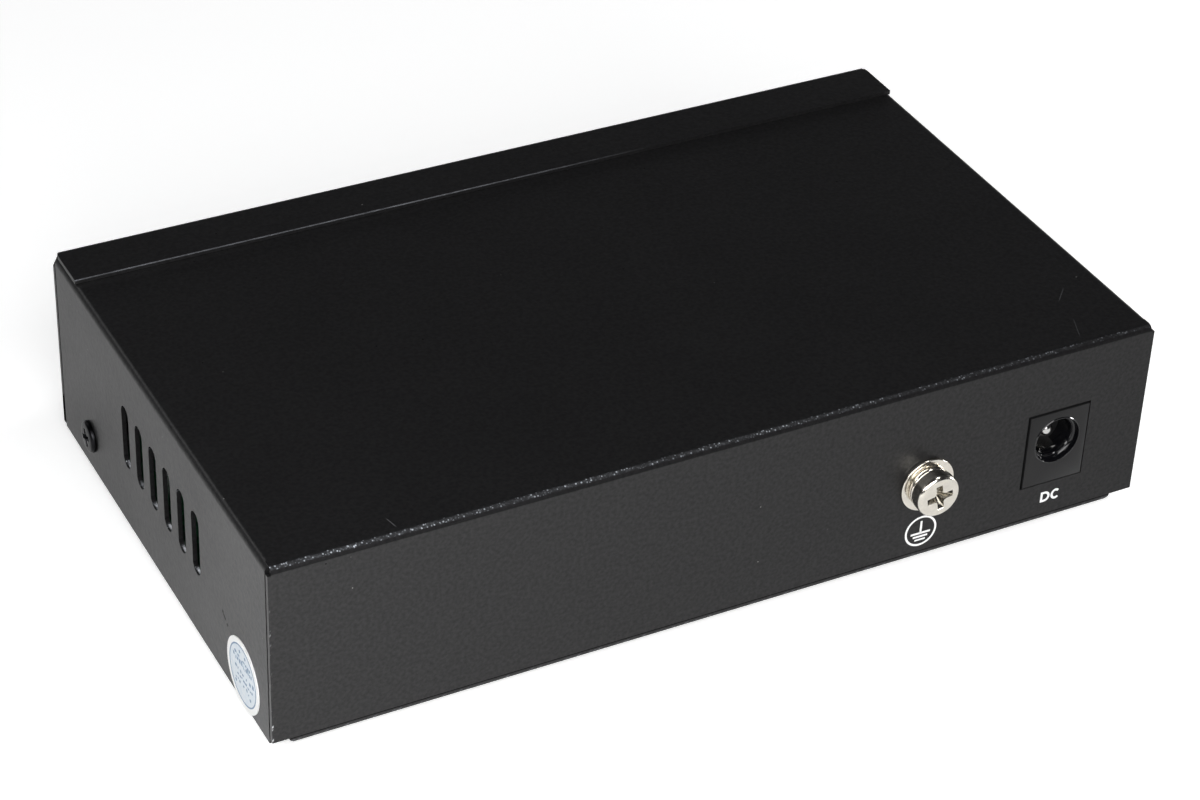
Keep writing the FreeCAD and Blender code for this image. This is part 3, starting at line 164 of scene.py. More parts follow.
class SealSettings(bpy.types.PropertyGroup):
    paper: colour("Paper", "the seal's paper", (0.93, 0.93, 0.92))
    field: colour("Field", "the tinted field inside the ring", (0.66, 0.74, 0.82))
    ink: colour("Ink", "the seal's print", (0.16, 0.27, 0.42))
    seed: IntProperty(name="Seed", description="Chooses how the dashes of the print fall", default=7, min=0)


class PortSettings(bpy.types.PropertyGroup):
    shield: colour("Shield", "the tinned shield round the ports", (0.62, 0.62, 0.60))
    gold: colour("Contacts", "the gold-plated contacts", (0.83, 0.60, 0.25))
    lens: colour("Lens", "the indicator lenses", (0.30, 0.72, 0.33))


class BoardSettings(bpy.types.PropertyGroup):
    mask: colour("Solder mask", "the circuit board", (0.006, 0.045, 0.018))
    moulding: colour("Chips", "the moulded chips", (0.015, 0.015, 0.016))
    rubber: colour("Feet", "the rubber feet", (0.02, 0.02, 0.02))


class StageSettings(bpy.types.PropertyGroup):
    floor: colour("Floor", "the studio floor", (0.88, 0.88, 0.88))
    floor_glow: share("Floor glow", "Light added to the floor for the camera", 0.54)
    mirror_glow: share("Mirror glow", "Light added to the floor in reflections", 0.14)
    horizon: colour("Horizon", "the backdrop just above the floor", (0.42, 0.42, 0.43))
    ceiling: colour("Ceiling", "the unlit room above the floor", (0.020, 0.020, 0.022))
    overhead: power("Overhead lamp", "Power of the lamp above", 0.8)
    fill: power("Fill lamp", "Power of the large lamp in front", 3.0)
    pool: power("Pool lamp", "Power of the low lamp over the floor", 0.34)
    flank: power("Flank lamp", "Power of the small lamp beside", 1.6)
    back: power("Back lamp", "Power of the lamp behind", 0.25)
    azimuth: angle("Azimuth", "Camera round the object", 151.4275)
    elevation: angle("Elevation", "Camera above the floor", 35.0099)
    roll: angle("Roll", "Turn of the camera about its view", 2.4568)
    distance: length("Distance", "Camera to the middle of the case", 423.985 * MM)
    aim_right: offset("Aim right", "Camera moved to its right", 0.3514 * MM)
    aim_up: offset("Aim up", "Camera moved up in its view", -2.7719 * MM)
    aim_height: length("Aim height", "Height of the point that the camera turns about", 15.35 * MM)
    lens: FloatProperty(name="Lens", description="Focal length in millimetres", default=97.287, min=10)


GROUPS = {
    "switch_case": CaseSettings,
    "switch_earth": EarthSettings,
    "switch_case_screws": CaseScrewSettings,
    "switch_inlet": InletSettings,
    "switch_marks": MarkSettings,
    "switch_seal": SealSettings,
    "switch_ports": PortSettings,
    "switch_board": BoardSettings,
    "switch_stage": StageSettings,
}


# Meshes.


def soft_profile(points, steps):
    """Round the corners of an open profile. Each point is (x, y, radius)."""
    result = []
    for index, (x, y, radius) in enumerate(points):
        here = Vector((x, y))
        if radius == 0:
            result.append(here)
            continue
        before = (Vector(points[index - 1][:2]) - here).normalized()
        after = (Vector(points[(index + 1) % len(points)][:2]) - here).normalized()
        half = before.angle(after) / 2
        centre = here + (before + after).normalized() * (radius / math.sin(half))
        start = here + before * (radius / math.tan(half)) - centre
        end = here + after * (radius / math.tan(half)) - centre
        sweep = start.angle_signed(end)
        for step in range(steps + 1):
            turn = Matrix.Rotation(-sweep * step / steps, 2)
            result.append(centre + turn @ start)
    return result


def join_rings(bm, first, second):
    """Fill between two closed rings of vertices, either of which may be a single point."""
    count = max(len(first), len(second))
    for i in range(count if count > 1 else 0):
        j = (i + 1) % count
        around = (first[i % len(first)], first[j % len(first)], second[j % len(second)], second[i % len(second)])
        bm.faces.new(list(dict.fromkeys(around)))


def loft(bm, rings, closed=False):
    """Fill between each ring of vertices and the next one."""
    for first, second in zip(rings, rings[1:] + rings[:1] if closed else rings[1:]):
        join_rings(bm, first, second)


def turned(bm, profile, steps, closed=False):
    """Turn a profile of (radius, height) points about Z."""
    rings = []
    for radius, height in profile:
        turns = [FULL_TURN * i / steps for i in range(steps if radius > 1e-9 else 1)]
        rings.append([bm.verts.new((x, y, height)) for x, y in arc(0, 0, radius, radius, turns)])
    loft(bm, rings, closed)
    return rings


def arc(x, y, wide, high, angles):
    """Points at the angles on an ellipse about (x, y)."""
    return [(x + wide * math.cos(turn), y + high * math.sin(turn)) for turn in angles]


def fill(bm, *loops):
    """Fill the flat face inside the first loop of vertices and outside the others."""
    edges = []
    for loop in loops:
        for pair in zip(loop, loop[1:] + loop[:1]):
            edges.append(bm.edges.get(pair) or bm.edges.new(pair))
    bmesh.ops.triangle_fill(bm, use_beauty=True, use_dissolve=False, edges=edges)


def plate(bm, outline, thickness, place, holes=()):
    """Add a flat plate with the outline, its back at Z = 0."""
    levels = []
    for height in (0.0, thickness):
        loops = [[bm.verts.new(place @ Vector((x, y, height))) for x, y in loop] for loop in (outline, *holes)]
        fill(bm, *loops)
        levels.append(loops)
    for low, high in zip(*levels):
        join_rings(bm, low, high)


def piece(name, bm, material, place=Matrix.Identity(4)):
    """Make an object of the mesh that rides with the case."""
    bmesh.ops.recalc_face_normals(bm, faces=bm.faces)
    mesh = bpy.data.meshes.new(name)
    bm.to_mesh(mesh)
    bm.free()
    mesh.transform(place)
    for polygon in mesh.polygons:
        polygon.use_smooth = True
    mesh.set_sharp_from_angle(angle=CREASE)
    thing = bpy.data.objects.new(name, mesh)
    bpy.context.scene.collection.objects.link(thing)
    thing.data.materials.append(material)
    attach(thing, "root")
    return thing


def finish(node, material):
    """Give a node of the frame its material."""
    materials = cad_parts[node].data.materials
    materials.clear()
    materials.append(material)


def soften(node, width):
    """Round the cut edges of a node of the frame."""
    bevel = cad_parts[node].modifiers.new("Soft edges", "BEVEL")
    bevel.width = width
    bevel.segments = 2
    bevel.limit_method = "ANGLE"
    bevel.angle_limit = math.radians(50)
    bevel.harden_normals = True


# Materials.


Axes = namedtuple("Axes", "x y z")


def scaled_colour(colour, factor):
    """The colour, made darker or lighter by the factor."""
    return tuple(min(1.0, channel * factor) for channel in colour)


class Nodes:
    """A node tree, with short ways to add to it."""

    def __init__(self, tree):
        self.tree = tree

    def add(self, kind, **values):
        """Add a node, and set the inputs or the properties that are named."""
        node = self.tree.nodes.new(kind)
        for key, value in values.items():
            if key in node.inputs:
                node.inputs[key].default_value = value
            else:
                setattr(node, key, value)
        return node

    def feed(self, node, key, value):
        """Link an input, or set it to a number, a vector or a colour."""
        if isinstance(value, bpy.types.NodeSocket):
            self.tree.links.new(value, node.inputs[key])
        elif isinstance(value, tuple):
            node.inputs[key].default_value = (*value, 1)
        else:
            node.inputs[key].default_value = value

    def split(self, vector):
        node = self.add("ShaderNodeSeparateXYZ")
        self.feed(node, "Vector", vector)
        return Axes(*node.outputs)

    def levels(self, value, low, high, to_low=0.0, to_high=1.0, kind="LINEAR"):
        """Map the range from low to high to another one. Values beyond its ends are held there."""
        node = self.add("ShaderNodeMapRange", interpolation_type=kind)
        keys = ("Value", "From Min", "From Max", "To Min", "To Max")
        for key, number in zip(keys, (value, low, high, to_low, to_high)):
            self.feed(node, key, number)
        return node.outputs["Result"]

    def maths(self, operation, first, second):
        node = self.add("ShaderNodeMath", operation=operation)
        self.feed(node, 0, first)
        self.feed(node, 1, second)
        return node.outputs["Value"]

    def product(self, first, *others):
        for other in others:
            first = self.maths("MULTIPLY", first, other)
        return first

    def bands(self, *ranges):
        """A mask of where every range holds. Each is a value, where it begins to hold and where it fully does."""
        return self.product(*[self.levels(*each) for each in ranges])

    def magnitude(self, value):
        return self.maths("ABSOLUTE", value, 0.0)

    def vector(self, operation, first, second):
        node = self.add("ShaderNodeVectorMath", operation=operation)
        self.feed(node, 0, first)
        self.feed(node, 1, second)
        return node.outputs["Vector" if operation == "SUBTRACT" else "Value"]

    def mix(self, amount, first, second):
        """Mix two colours, the more of the second the larger the amount."""
        node = self.add("ShaderNodeMix", data_type="RGBA")
        for key, value in ((0, amount), (6, first), (7, second)):
            self.feed(node, key, value)
        return node.outputs[2]


class Finish(Nodes):
    """A material's node tree, with its principled shader."""

    def __init__(self, name, colour, roughness, metallic=0.0):
        self.material = bpy.data.materials.new(name)
        self.material.use_nodes = True
        super().__init__(self.material.node_tree)
        self.shader = self.tree.nodes["Principled BSDF"]
        self.feed(self.shader, "Base Color", tuple(colour))
        self.feed(self.shader, "Roughness", roughness)
        self.feed(self.shader, "Metallic", metallic)
        self.place = self.add("ShaderNodeTexCoord").outputs["Object"]

    def facing(self):
        """Which way the surface faces."""
        return self.split(self.add("ShaderNodeNewGeometry").outputs["True Normal"])

    def noise(self, size, detail=2.0, rough=0.5):
        node = self.add("ShaderNodeTexNoise", Scale=1 / size, Detail=detail, Roughness=rough)
        self.feed(node, "Vector", self.place)
        return node.outputs["Fac"]

    def cells(self, size, feature="F1"):
        node = self.add("ShaderNodeTexVoronoi", Scale=1 / size, feature=feature)
        self.feed(node, "Vector", self.place)
        return node

    def chance(self, cells, channel):
        """A random number for each cell."""
        node = self.add("ShaderNodeSeparateColor")
        self.feed(node, "Color", cells.outputs["Color"])
        return node.outputs[channel]

    def bump(self, height, depth, under=None):
        node = self.add("ShaderNodeBump", Strength=1.0, Distance=depth)
        self.feed(node, "Height", height)
        if under is not None:
            self.feed(node, "Normal", under)
        return node.outputs["Normal"]

    def lay(self, amount, colour):
        """Lay a colour over the one that the shader has so far."""
        so_far = self.shader.inputs["Base Color"].links[0].from_socket
        self.colour_from(self.mix(amount, so_far, colour))

    def dull(self, share_left):
        """Leave a share of the sheen that the shader has so far."""
        so_far = self.shader.inputs["Specular IOR Level"].links[0].from_socket
        self.sheen_from(self.product(so_far, share_left))

    def colour_from(self, output):
        self.feed(self.shader, "Base Color", output)

    def roughness_from(self, output):
        self.feed(self.shader, "Roughness", output)

    def normal_from(self, output):
        self.feed(self.shader, "Normal", output)

    def sheen_from(self, output):
        self.feed(self.shader, "Specular IOR Level", output)


def scratch_mask(nodes, centre, *ways):
    """A mask of one straight mark. Each way is a direction and half the mark's millimetres along it."""
    shift = nodes.vector("SUBTRACT", nodes.place, centre)
    return nodes.bands(*[
        (nodes.magnitude(nodes.vector("DOT_PRODUCT", shift, way)), half * MM, half * 0.6 * MM) for way, half in ways])


def powder_coat(s, name):
    """Fine-textured black powder coat, a little dusty, its grain coarser on the bends and its edges nicked, with
    painted shade in its sheen and painted glints along the rear bend.
    """
    nodes = Finish(name, s.paint, s.gloss)
    facing = nodes.facing()
    bent = nodes.maths("MINIMUM", facing.y, facing.z)
    on_bend = nodes.levels(bent, 0.15, 0.5)
    fine = nodes.noise(s.grain * 1.5, 1.0)
    smooth = nodes.bump(nodes.noise(s.grain * 2.4, 1.0), s.relief * 1.6)
    pebbles = nodes.product(nodes.noise(s.grain * 0.8, 3.0, 0.7), on_bend)
    coarse = nodes.bump(pebbles, s.relief * 5, smooth)
    nodes.normal_from(nodes.bump(nodes.noise(s.grain, 2.0, 0.6), s.relief, coarse))
    cloud = nodes.levels(nodes.noise(14 * MM, 3.0), 0.3, 0.7, -0.02, 0.02)
    stretches = nodes.levels(nodes.noise(4 * MM), 0.35, 0.65, 0.0, 0.08)
    polished = nodes.maths("SUBTRACT", cloud, nodes.product(on_bend, stretches))
    nodes.roughness_from(nodes.maths("ADD", polished, s.gloss))
    grainy = nodes.levels(fine, 0.3, 0.7, s.sheen * 0.84, s.sheen * 1.16)
    # The sheen carries painted shade, see wear().
    nodes.sheen_from(nodes.product(grainy, wear(nodes, facing, bent)))
    nodes.colour_from(nodes.mix(nodes.levels(fine, 0.35, 0.65), scaled_colour(s.paint, 0.9), scaled_colour(s.paint, 1.1)))
    nodes.lay(nodes.product(specks(nodes, 3.4 * MM, 0.032, 0.72), s.dust), (0.42, 0.42, 0.41))
    nodes.lay(nodes.product(cut_edges(nodes, facing), chips(nodes), s.wear), tuple(s.bare))
    # Painted highlight: bright specks laid into the colour along the rear bend.
    nodes.lay(painted_glints(nodes, facing), (0.62, 0.66, 0.72))
    return nodes


def wear(nodes, facing, bent):
    """How much of the sheen is left. Painted shade takes it off faces turned down, most of it off the rear bend and
    more of it off the rear wall towards the inlet's end; dull specks are marks.
    """
    unmarked = nodes.levels(specks(nodes, 4.5 * MM, 0.035, 0.6), 0.0, 1.0, 1.0, 0.15)
    # Painted shade: the rear wall's sheen falls off towards the inlet's end.
    painted_falloff = nodes.levels(nodes.split(nodes.place).x, -60 * MM, 60 * MM, 0.42, 0.14)
    sheen_after_falloff = nodes.maths("SUBTRACT", 1.0, nodes.product(nodes.maths("MAXIMUM", facing.y, 0.0), painted_falloff))
    # Painted shade: faces turned down and the rear bend lose their sheen.
    return nodes.product(nodes.bands((facing.z, -0.5, -0.32), (bent, 0.05, 0.2, 1.0, 0.25)), unmarked, sheen_after_falloff)


def painted_glints(nodes, facing):
    """A mask of painted glints: fine bright specks along the crown of the rear bend that stand in for highlights,
    thinner away from the seal's side.
    """
    painted_sparkle = nodes.maths("MAXIMUM", specks(nodes, 0.34 * MM, 0.42, 0.42),
                         nodes.levels(nodes.noise(0.3 * MM, 2.0, 0.6), 0.5, 0.72, 0.04, 0.22))
    return nodes.product(painted_sparkle, nodes.bands(
        (facing.z, 0.62, 0.78),
        (facing.y, 0.16, 0.3),
        (nodes.split(nodes.place).x, -60 * MM, 50 * MM, 0.12, 0.7),
        (nodes.noise(2.6 * MM), 0.35, 0.6, 0.6, 1.0)))


def cut_edges(nodes, facing):
    """A mask of the upright edges and of the edges that face down, where the normal leaves the walls' own."""
    upright = nodes.levels(nodes.maths("MINIMUM", nodes.magnitude(facing.x), nodes.magnitude(facing.y)), 0.2, 0.4)
    down = nodes.product(facing.z, -1.0)
    lower = nodes.bands((down, 0.15, 0.25, 0.0, 0.6), (down, 0.5, 0.4))
    return nodes.maths("MAXIMUM", upright, lower)


def specks(nodes, spacing, size, sparse):
    """A mask of scattered round specks."""
    flecks = nodes.cells(spacing)
    near = nodes.levels(flecks.outputs["Distance"], size, size / 2)
    return nodes.product(near, nodes.levels(nodes.chance(flecks, "Red"), sparse, sparse + 0.04))


def chips(nodes):
    """Small nicks strung along an edge, told by how far along it they lie."""
    at = nodes.split(nodes.place)
    cells = nodes.add("ShaderNodeTexVoronoi", voronoi_dimensions="1D", Scale=1 / (1.0 * MM))
    nodes.feed(cells, "W", nodes.maths("ADD", nodes.maths("ADD", at.x, at.y), at.z))
    near = nodes.levels(cells.outputs["Distance"], 0.22, 0.1)
    return nodes.product(near, nodes.levels(nodes.chance(cells, "Green"), 0.3, 0.9))


def plated(name, colour, roughness=0.16, marks=0.06):
    """Bright plating with faint tool marks."""
    nodes = Finish(name, colour, roughness, metallic=1.0)
    cloud = nodes.noise(0.9 * MM, 3.0)
    nodes.roughness_from(nodes.levels(cloud, 0.3, 0.7, roughness - marks / 2, roughness + marks))
    nodes.normal_from(nodes.bump(nodes.noise(0.35 * MM), 0.004 * MM))
    nodes.colour_from(nodes.mix(nodes.levels(cloud, 0.35, 0.7), scaled_colour(colour, 0.88), tuple(colour)))
    return nodes.material


def moulded(name, colour, roughness=0.4, grain=0.2 * MM, relief=0.004 * MM):
    """Moulded plastic with a fine spark-eroded grain."""
    nodes = Finish(name, colour, roughness)
    fine = nodes.noise(grain)
    nodes.normal_from(nodes.bump(fine, relief))
    nodes.roughness_from(nodes.levels(nodes.noise(5 * MM), 0.3, 0.7, roughness * 0.9, roughness * 1.1))
    nodes.colour_from(nodes.mix(nodes.levels(fine, 0.3, 0.7), scaled_colour(colour, 0.85), tuple(colour)))
    return nodes.material


def circuit_mask(name, colour):
    """Green solder mask over copper tracks."""
    nodes = Finish(name, colour, 0.3)
    copper = nodes.levels(nodes.cells(2.2 * MM, "DISTANCE_TO_EDGE").outputs["Distance"], 0.10, 0.16)
    nodes.colour_from(nodes.mix(copper, scaled_colour(colour, 1.9), tuple(colour)))
    nodes.normal_from(nodes.bump(copper, 0.02 * MM))
    return nodes.material


def lens_plastic(name, colour):
    """Tinted, lightly frosted clear plastic."""
    nodes = Finish(name, colour, 0.22)
    nodes.feed(nodes.shader, "Transmission Weight", 0.7)
    nodes.feed(nodes.shader, "IOR", 1.5)
    nodes.normal_from(nodes.bump(nodes.noise(0.4 * MM), 0.01 * MM))
    nodes.colour_from(nodes.mix(nodes.noise(1.2 * MM), tuple(colour), scaled_colour(colour, 1.15)))
    return nodes.material


def printed(name, colour, roughness=0.45):
    """Ink with slightly uneven cover."""
    nodes = Finish(name, colour, roughness)
    cover = nodes.noise(0.3 * MM)
    nodes.colour_from(nodes.mix(nodes.levels(cover, 0.3, 0.7), scaled_colour(colour, 0.9), tuple(colour)))
    nodes.normal_from(nodes.bump(cover, 0.004 * MM))
    return nodes.material


# Screws.


def cross_outline(arm, reach):
    """The outline of a cross recess, its inner corners eased."""
    ease = (reach - arm) * 0.3
    quarter = [
        (reach, -arm), (reach, arm), (arm + ease, arm), (arm + ease * 0.3, arm + ease * 0.3), (arm, arm + ease),
    ]
    points = []
    for turn in range(4):
        points += [Matrix.Rotation(turn * math.pi / 2, 2) @ Vector(point) for point in quarter]
    return points


def screw_head(bm, radius, height, rim, crown, arm, reach, depth):
    """A pan head on Z = 0, its top slightly crowned, with a cross recess."""
    face = reach + (radius - rim - reach) * 0.35
    profile = [Vector((radius * 0.4, 0.0)), *soft_profile(
        [(radius - 0.1 * MM, 0, 0), (radius, 0.1 * MM, 0), (radius, height, rim), (face, height + crown, 0)], 7)]
    rings = turned(bm, profile, 72)
    top = profile[-1].y
    mouth = [bm.verts.new((x, y, top)) for x, y in cross_outline(arm, reach)]
    fill(bm, rings[-1], mouth)
    skin = set(bm.faces)
    recess = [mouth]
    for scale, wide, level in ((0.97, 0.9, 0.08), (0.66, 0.66, 0.62), (0.30, 0.40, 1.0)):
        outline = cross_outline(arm * wide, reach * scale)
        recess.append([bm.verts.new((x, y, top - depth * level)) for x, y in outline])
    loft(bm, [*recess, [bm.verts.new((0, 0, top - depth * 1.12))]])
    # The recess faces take the second material, a darker copy that paints the recess's shade.
    for face in set(bm.faces) - skin:
        face.material_index = 1


def threaded_rod(bm, radius, thread, pitch, length, steps):
    """A threaded shank that hangs down from Z = 0."""
    rows_per_turn = 10
    count = max(2, int(length / pitch * rows_per_turn))
    rings = []
    for row in range(count + 1):
        down = length * row / count
        ring = []
        for i in range(steps):
            turn = i / steps
            phase = (down / pitch + turn) % 1.0
            ridge = 1 - min(1.0, abs(phase - 0.5) * 2.4)
            fade = min(1.0, (length - down) / pitch)
            r = radius - thread * (1 - ridge * fade)
            ring.append(bm.verts.new((r * math.cos(turn * FULL_TURN), r * math.sin(turn * FULL_TURN), -down)))
        rings.append(ring)
    loft(bm, rings)
    bm.faces.new(rings[-1])


def washer_section(bore, wide, thick, edge):
    """The section of a washer, its corners rounded."""
    return soft_profile([(bore, 0, edge), (wide, 0, edge), (wide, thick, edge), (bore, thick, edge)], 3)


# From the tray's front to its lip's rear edge, then from the tray's underside up to the rear wall's lower edge, the
# letters' feet and the earth sign's middle.
LIP_DEPTH = 7.8 * MM
WALL_RISE = 1.95 * MM
LETTERS_RISE = 3.9 * MM
SIGN_RISE = 5.15 * MM

# Millimetres in from the seal's side and from the rear, heading in degrees, half length, half width, strength.
TOP_SCRATCHES = (
    (16.4, 2.45, 102, 1.1, 0.07, 0.2),
    (114.9, 11.0, 46, 1.9, 0.08, 0.10),
    (112.4, 3.75, 68, 2.2, 0.08, 0.08),
)

# Millimetres in from the rear and down from the top, heading in degrees, half length, half width.
SIDE_SCRAPES = (
    (14.87, 16.67, -14, 0.26, 0.3),
    (14.34, 17.13, -34, 0.55, 0.3),
    (13.46, 17.72, -39, 0.26, 0.3),
)


class SWITCH_OT_case(bpy.types.Operator):
    """Powder-coat the folded cover and tray"""

    bl_idname = "switch.case"
    bl_label = "Case"

    def execute(self, context):
        s = context.scene.switch_case
        cover = powder_coat(s, "case_powder_coat")
        self.scratch_top(cover)
        self.scratch_side(cover)
        self.nick_ends(cover)
        finish("cover_shell", cover.material)
        tray = powder_coat(s, "tray_powder_coat")
        self.rub_and_highlight_lip(tray, s)
        self.shade_seam(tray)
        finish("base_tray", tray.material)
        for node in ("cover_shell", "base_tray"):
            soften(node, s.edge)
        return {"FINISHED"}

    def scratch_top(self, nodes):
        """A few short light scratches near the top's rear corners."""
        top = corners("cover_shell")[1]
        marks = 0.0
        for from_side, from_rear, heading, reach, width, strength in TOP_SCRATCHES:
            centre = Vector((top.x - from_side * MM, top.y - from_rear * MM, top.z))
            way = Matrix.Rotation(math.radians(heading), 3, "Z") @ RIGHT
            line = scratch_mask(nodes, centre, (way, reach), (UP.cross(way), width))
            marks = nodes.maths("MAXIMUM", nodes.product(line, strength), marks)
        nodes.lay(marks, (0.35, 0.36, 0.38))

    def scratch_side(self, nodes):
        """A short dark scrape and two dark nicks above the seal, not on the wall across from it."""
        rear = corners("cover_shell")[1]
        clear = 1.0
        for from_rear, from_top, heading, reach, width in SIDE_SCRAPES:
            centre = Vector((rear.x, rear.y - from_rear * MM, rear.z - from_top * MM))
            way = Matrix.Rotation(math.radians(heading), 3, "X") @ REARWARD
            line = scratch_mask(nodes, centre, (way, reach), (RIGHT.cross(way), width), (RIGHT, 1.0))
            clear = nodes.maths("SUBTRACT", clear, nodes.product(line, 0.9))
        nodes.dull(nodes.maths("MAXIMUM", clear, 0.0))

    def nick_ends(self, nodes):
        """Nick the rear wall's end by the seal, and paint highlights on the lower ends of the slots."""
        side = corners("cover_shell")[1]
        facing, at = nodes.facing(), nodes.split(nodes.place)
        nicks = nodes.product(chips(nodes), nodes.bands(
            (facing.y, 0.3, 0.5),
            (at.x, side.x - 0.24 * MM, side.x - 0.16 * MM),
            (at.y, side.y - 0.5 * MM, side.y - 0.3 * MM),
            (at.z, side.z - 8 * MM, side.z - 14 * MM, 0.25, 1.0),
            (nodes.noise(0.7 * MM, 1.0), 0.46, 0.56)))
        outward = nodes.magnitude(at.x)
        # Painted highlight: light dabs on the up-facing lower ends of the slots.
        painted_slot_glints = nodes.bands(
            (outward, side.x - 0.72 * MM, side.x - 0.62 * MM),
            (outward, side.x - 0.22 * MM, side.x - 0.34 * MM),
            (facing.z, 0.72, 0.92),
            (at.z, side.z - 5 * MM, side.z - 6 * MM),
            (nodes.noise(0.5 * MM, 1.0), 0.4, 0.6, 0.3, 1.0))
        nodes.lay(nicks, (0.55, 0.56, 0.58))
        nodes.lay(painted_slot_glints, (0.62, 0.64, 0.68))

    def shade_seam(self, nodes):
        """Dull the tray close under the rear wall's edge, where the wall shades it."""
        wall_edge = corners("base_tray")[0].z + WALL_RISE
        height = nodes.split(nodes.place).z
        open_air = nodes.levels(height, wall_edge - 0.92 * MM, wall_edge - 1.04 * MM)
        high_up = nodes.levels(height, wall_edge + 4 * MM, wall_edge + 5 * MM)
        nodes.dull(nodes.maths("MAXIMUM", open_air, high_up))

    def rub_and_highlight_lip(self, nodes, s):
        """Rub the paint thin along the rear edge of the lip, which also stands in for a painted highlight there, less
        so away from the seal's side.
        """
        low, high = corners("base_tray")
        at = nodes.split(nodes.place)
        from_edge = nodes.magnitude(nodes.maths("SUBTRACT", at.y, low.y + LIP_DEPTH))
        cover = nodes.bands(
            (from_edge, 0.13 * MM, 0.05 * MM),
            (at.z, high.z - 0.16 * MM, high.z - 0.08 * MM),
            (at.x, -22 * MM, 4 * MM))
        broken = nodes.levels(nodes.noise(1.6 * MM, 4.0, 0.7), 0.25, 0.7, 0.25, 1.0)
        # Rubbed paint and a painted highlight in one: a light line with bright specks along the lip's edge.
        nodes.lay(nodes.product(cover, broken), scaled_colour(s.bare, 0.55))
        nodes.lay(nodes.product(cover, specks(nodes, 2.6 * MM, 0.11, 0.5)), (0.8, 0.8, 0.8))


class SWITCH_OT_case_screws(bpy.types.Operator):
    """Make the black cross-recess screws that hold the cover to the tray"""

    bl_idname = "switch.case_screws"
    bl_label = "Case screws"

    def execute(self, context):
        s = context.scene.switch_case_screws
        low, high = corners("case_screws")
        wall_low, wall_high = corners("cover_shell")
        radius = (high.y - low.y) / 2
        height = high.x - wall_high.x
        y, z = middle("case_screws").yz
        finish_black = plated("black_zinc", s.finish, 0.3, 0.1)
        # Painted shade: the recess takes a darker copy of the black zinc.
        painted_shade_black = plated("black_zinc_recess", scaled_colour(s.finish, 0.6), 0.35, 0.1)
        crown = 0.1 * MM
        made = []
        for side, x, turn in (("right", wall_high.x, OUT_OF_RIGHT), ("left", wall_low.x, OUT_OF_LEFT)):
            bm = bmesh.new()
            screw_head(bm, radius, height - crown, s.rim, crown, s.arm, s.reach, s.depth)
            threaded_rod(bm, radius=1.45 * MM, thread=0.28 * MM, pitch=0.5 * MM, length=4.6 * MM, steps=32)
            place = Matrix.Translation((x, y, z)) @ turn @ Matrix.Rotation(math.radians(20), 4, "Z")
            made.append(piece(f"case_screw_{side}", bm, finish_black, place))
        for screw in made:
            screw.data.materials.append(painted_shade_black)
            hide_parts("case_screws")
        return {"FINISHED"}


class SWITCH_OT_earth_point(bpy.types.Operator):
    """Make the earth screw with its split washer, flat washer and nut"""

    bl_idname = "switch.earth_point"
    bl_label = "Earth point"

    def execute(self, context):
        s = context.scene.switch_earth
        nickel = plated("nickel_plating", s.plating)
        self.make_screw(s, nickel)
        self.make_washers(nickel)
        finish("earth_nut", nickel)
        return {"FINISHED"}

    def make_screw(self, s, nickel):
        low, high = corners("earth_screw")
        seat = corners("earth_spring_washer")[1].y
        radius, crown = (high.x - low.x) / 2, 0.12 * MM
        bm = bmesh.new()
        screw_head(bm, radius, high.y - seat - crown, s.rim, crown, s.arm, s.reach, s.depth)
        threaded_rod(bm, 1.5 * MM, s.thread, s.pitch, length=seat - low.y, steps=56)
        place = outward("earth_screw", seat) @ Matrix.Rotation(s.turn, 4, "Z")
        screw = piece("earth_screw_turned", bm, nickel, place)
        # Painted shade: the recess takes a darker copy of the plating.
        screw.data.materials.append(plated("nickel_recess", scaled_colour(s.plating, s.shade), 0.12))
        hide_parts("earth_screw")

    def make_washers(self, nickel):
        low, high = corners("earth_flat_washer")
        wide, thick = (high.x - low.x) / 2, high.y - low.y
        bore, edge = 1.62 * MM, 0.12 * MM
        bm = bmesh.new()
        turned(bm, washer_section(bore, wide, thick, edge), 96, closed=True)
        flat = piece("earth_washer_flat", bm, nickel, outward("earth_flat_washer", low.y))
        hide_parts("earth_flat_washer")
        low, high = corners("earth_spring_washer")
        lift = 0.12 * MM
        wide, thick = (high.x - low.x) / 2 - 0.02 * MM, high.y - low.y - lift
        section = washer_section(bore, wide, thick, 0.26 * MM)
        steps, split, heading = 84, math.radians(7), math.radians(140)
        bm = bmesh.new()
        rings = []
        for i in range(steps + 1):
            turn = split / 2 + (FULL_TURN - split) * i / steps + heading
            rise = lift * i / steps
            rings.append([bm.verts.new((r * math.cos(turn), r * math.sin(turn), h + rise)) for r, h in section])
        loft(bm, rings)
        bm.faces.new(rings[0])
        bm.faces.new(rings[-1])
        split_ring = piece("earth_washer_split", bm, nickel, outward("earth_flat_washer", low.y))
        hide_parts("earth_spring_washer")


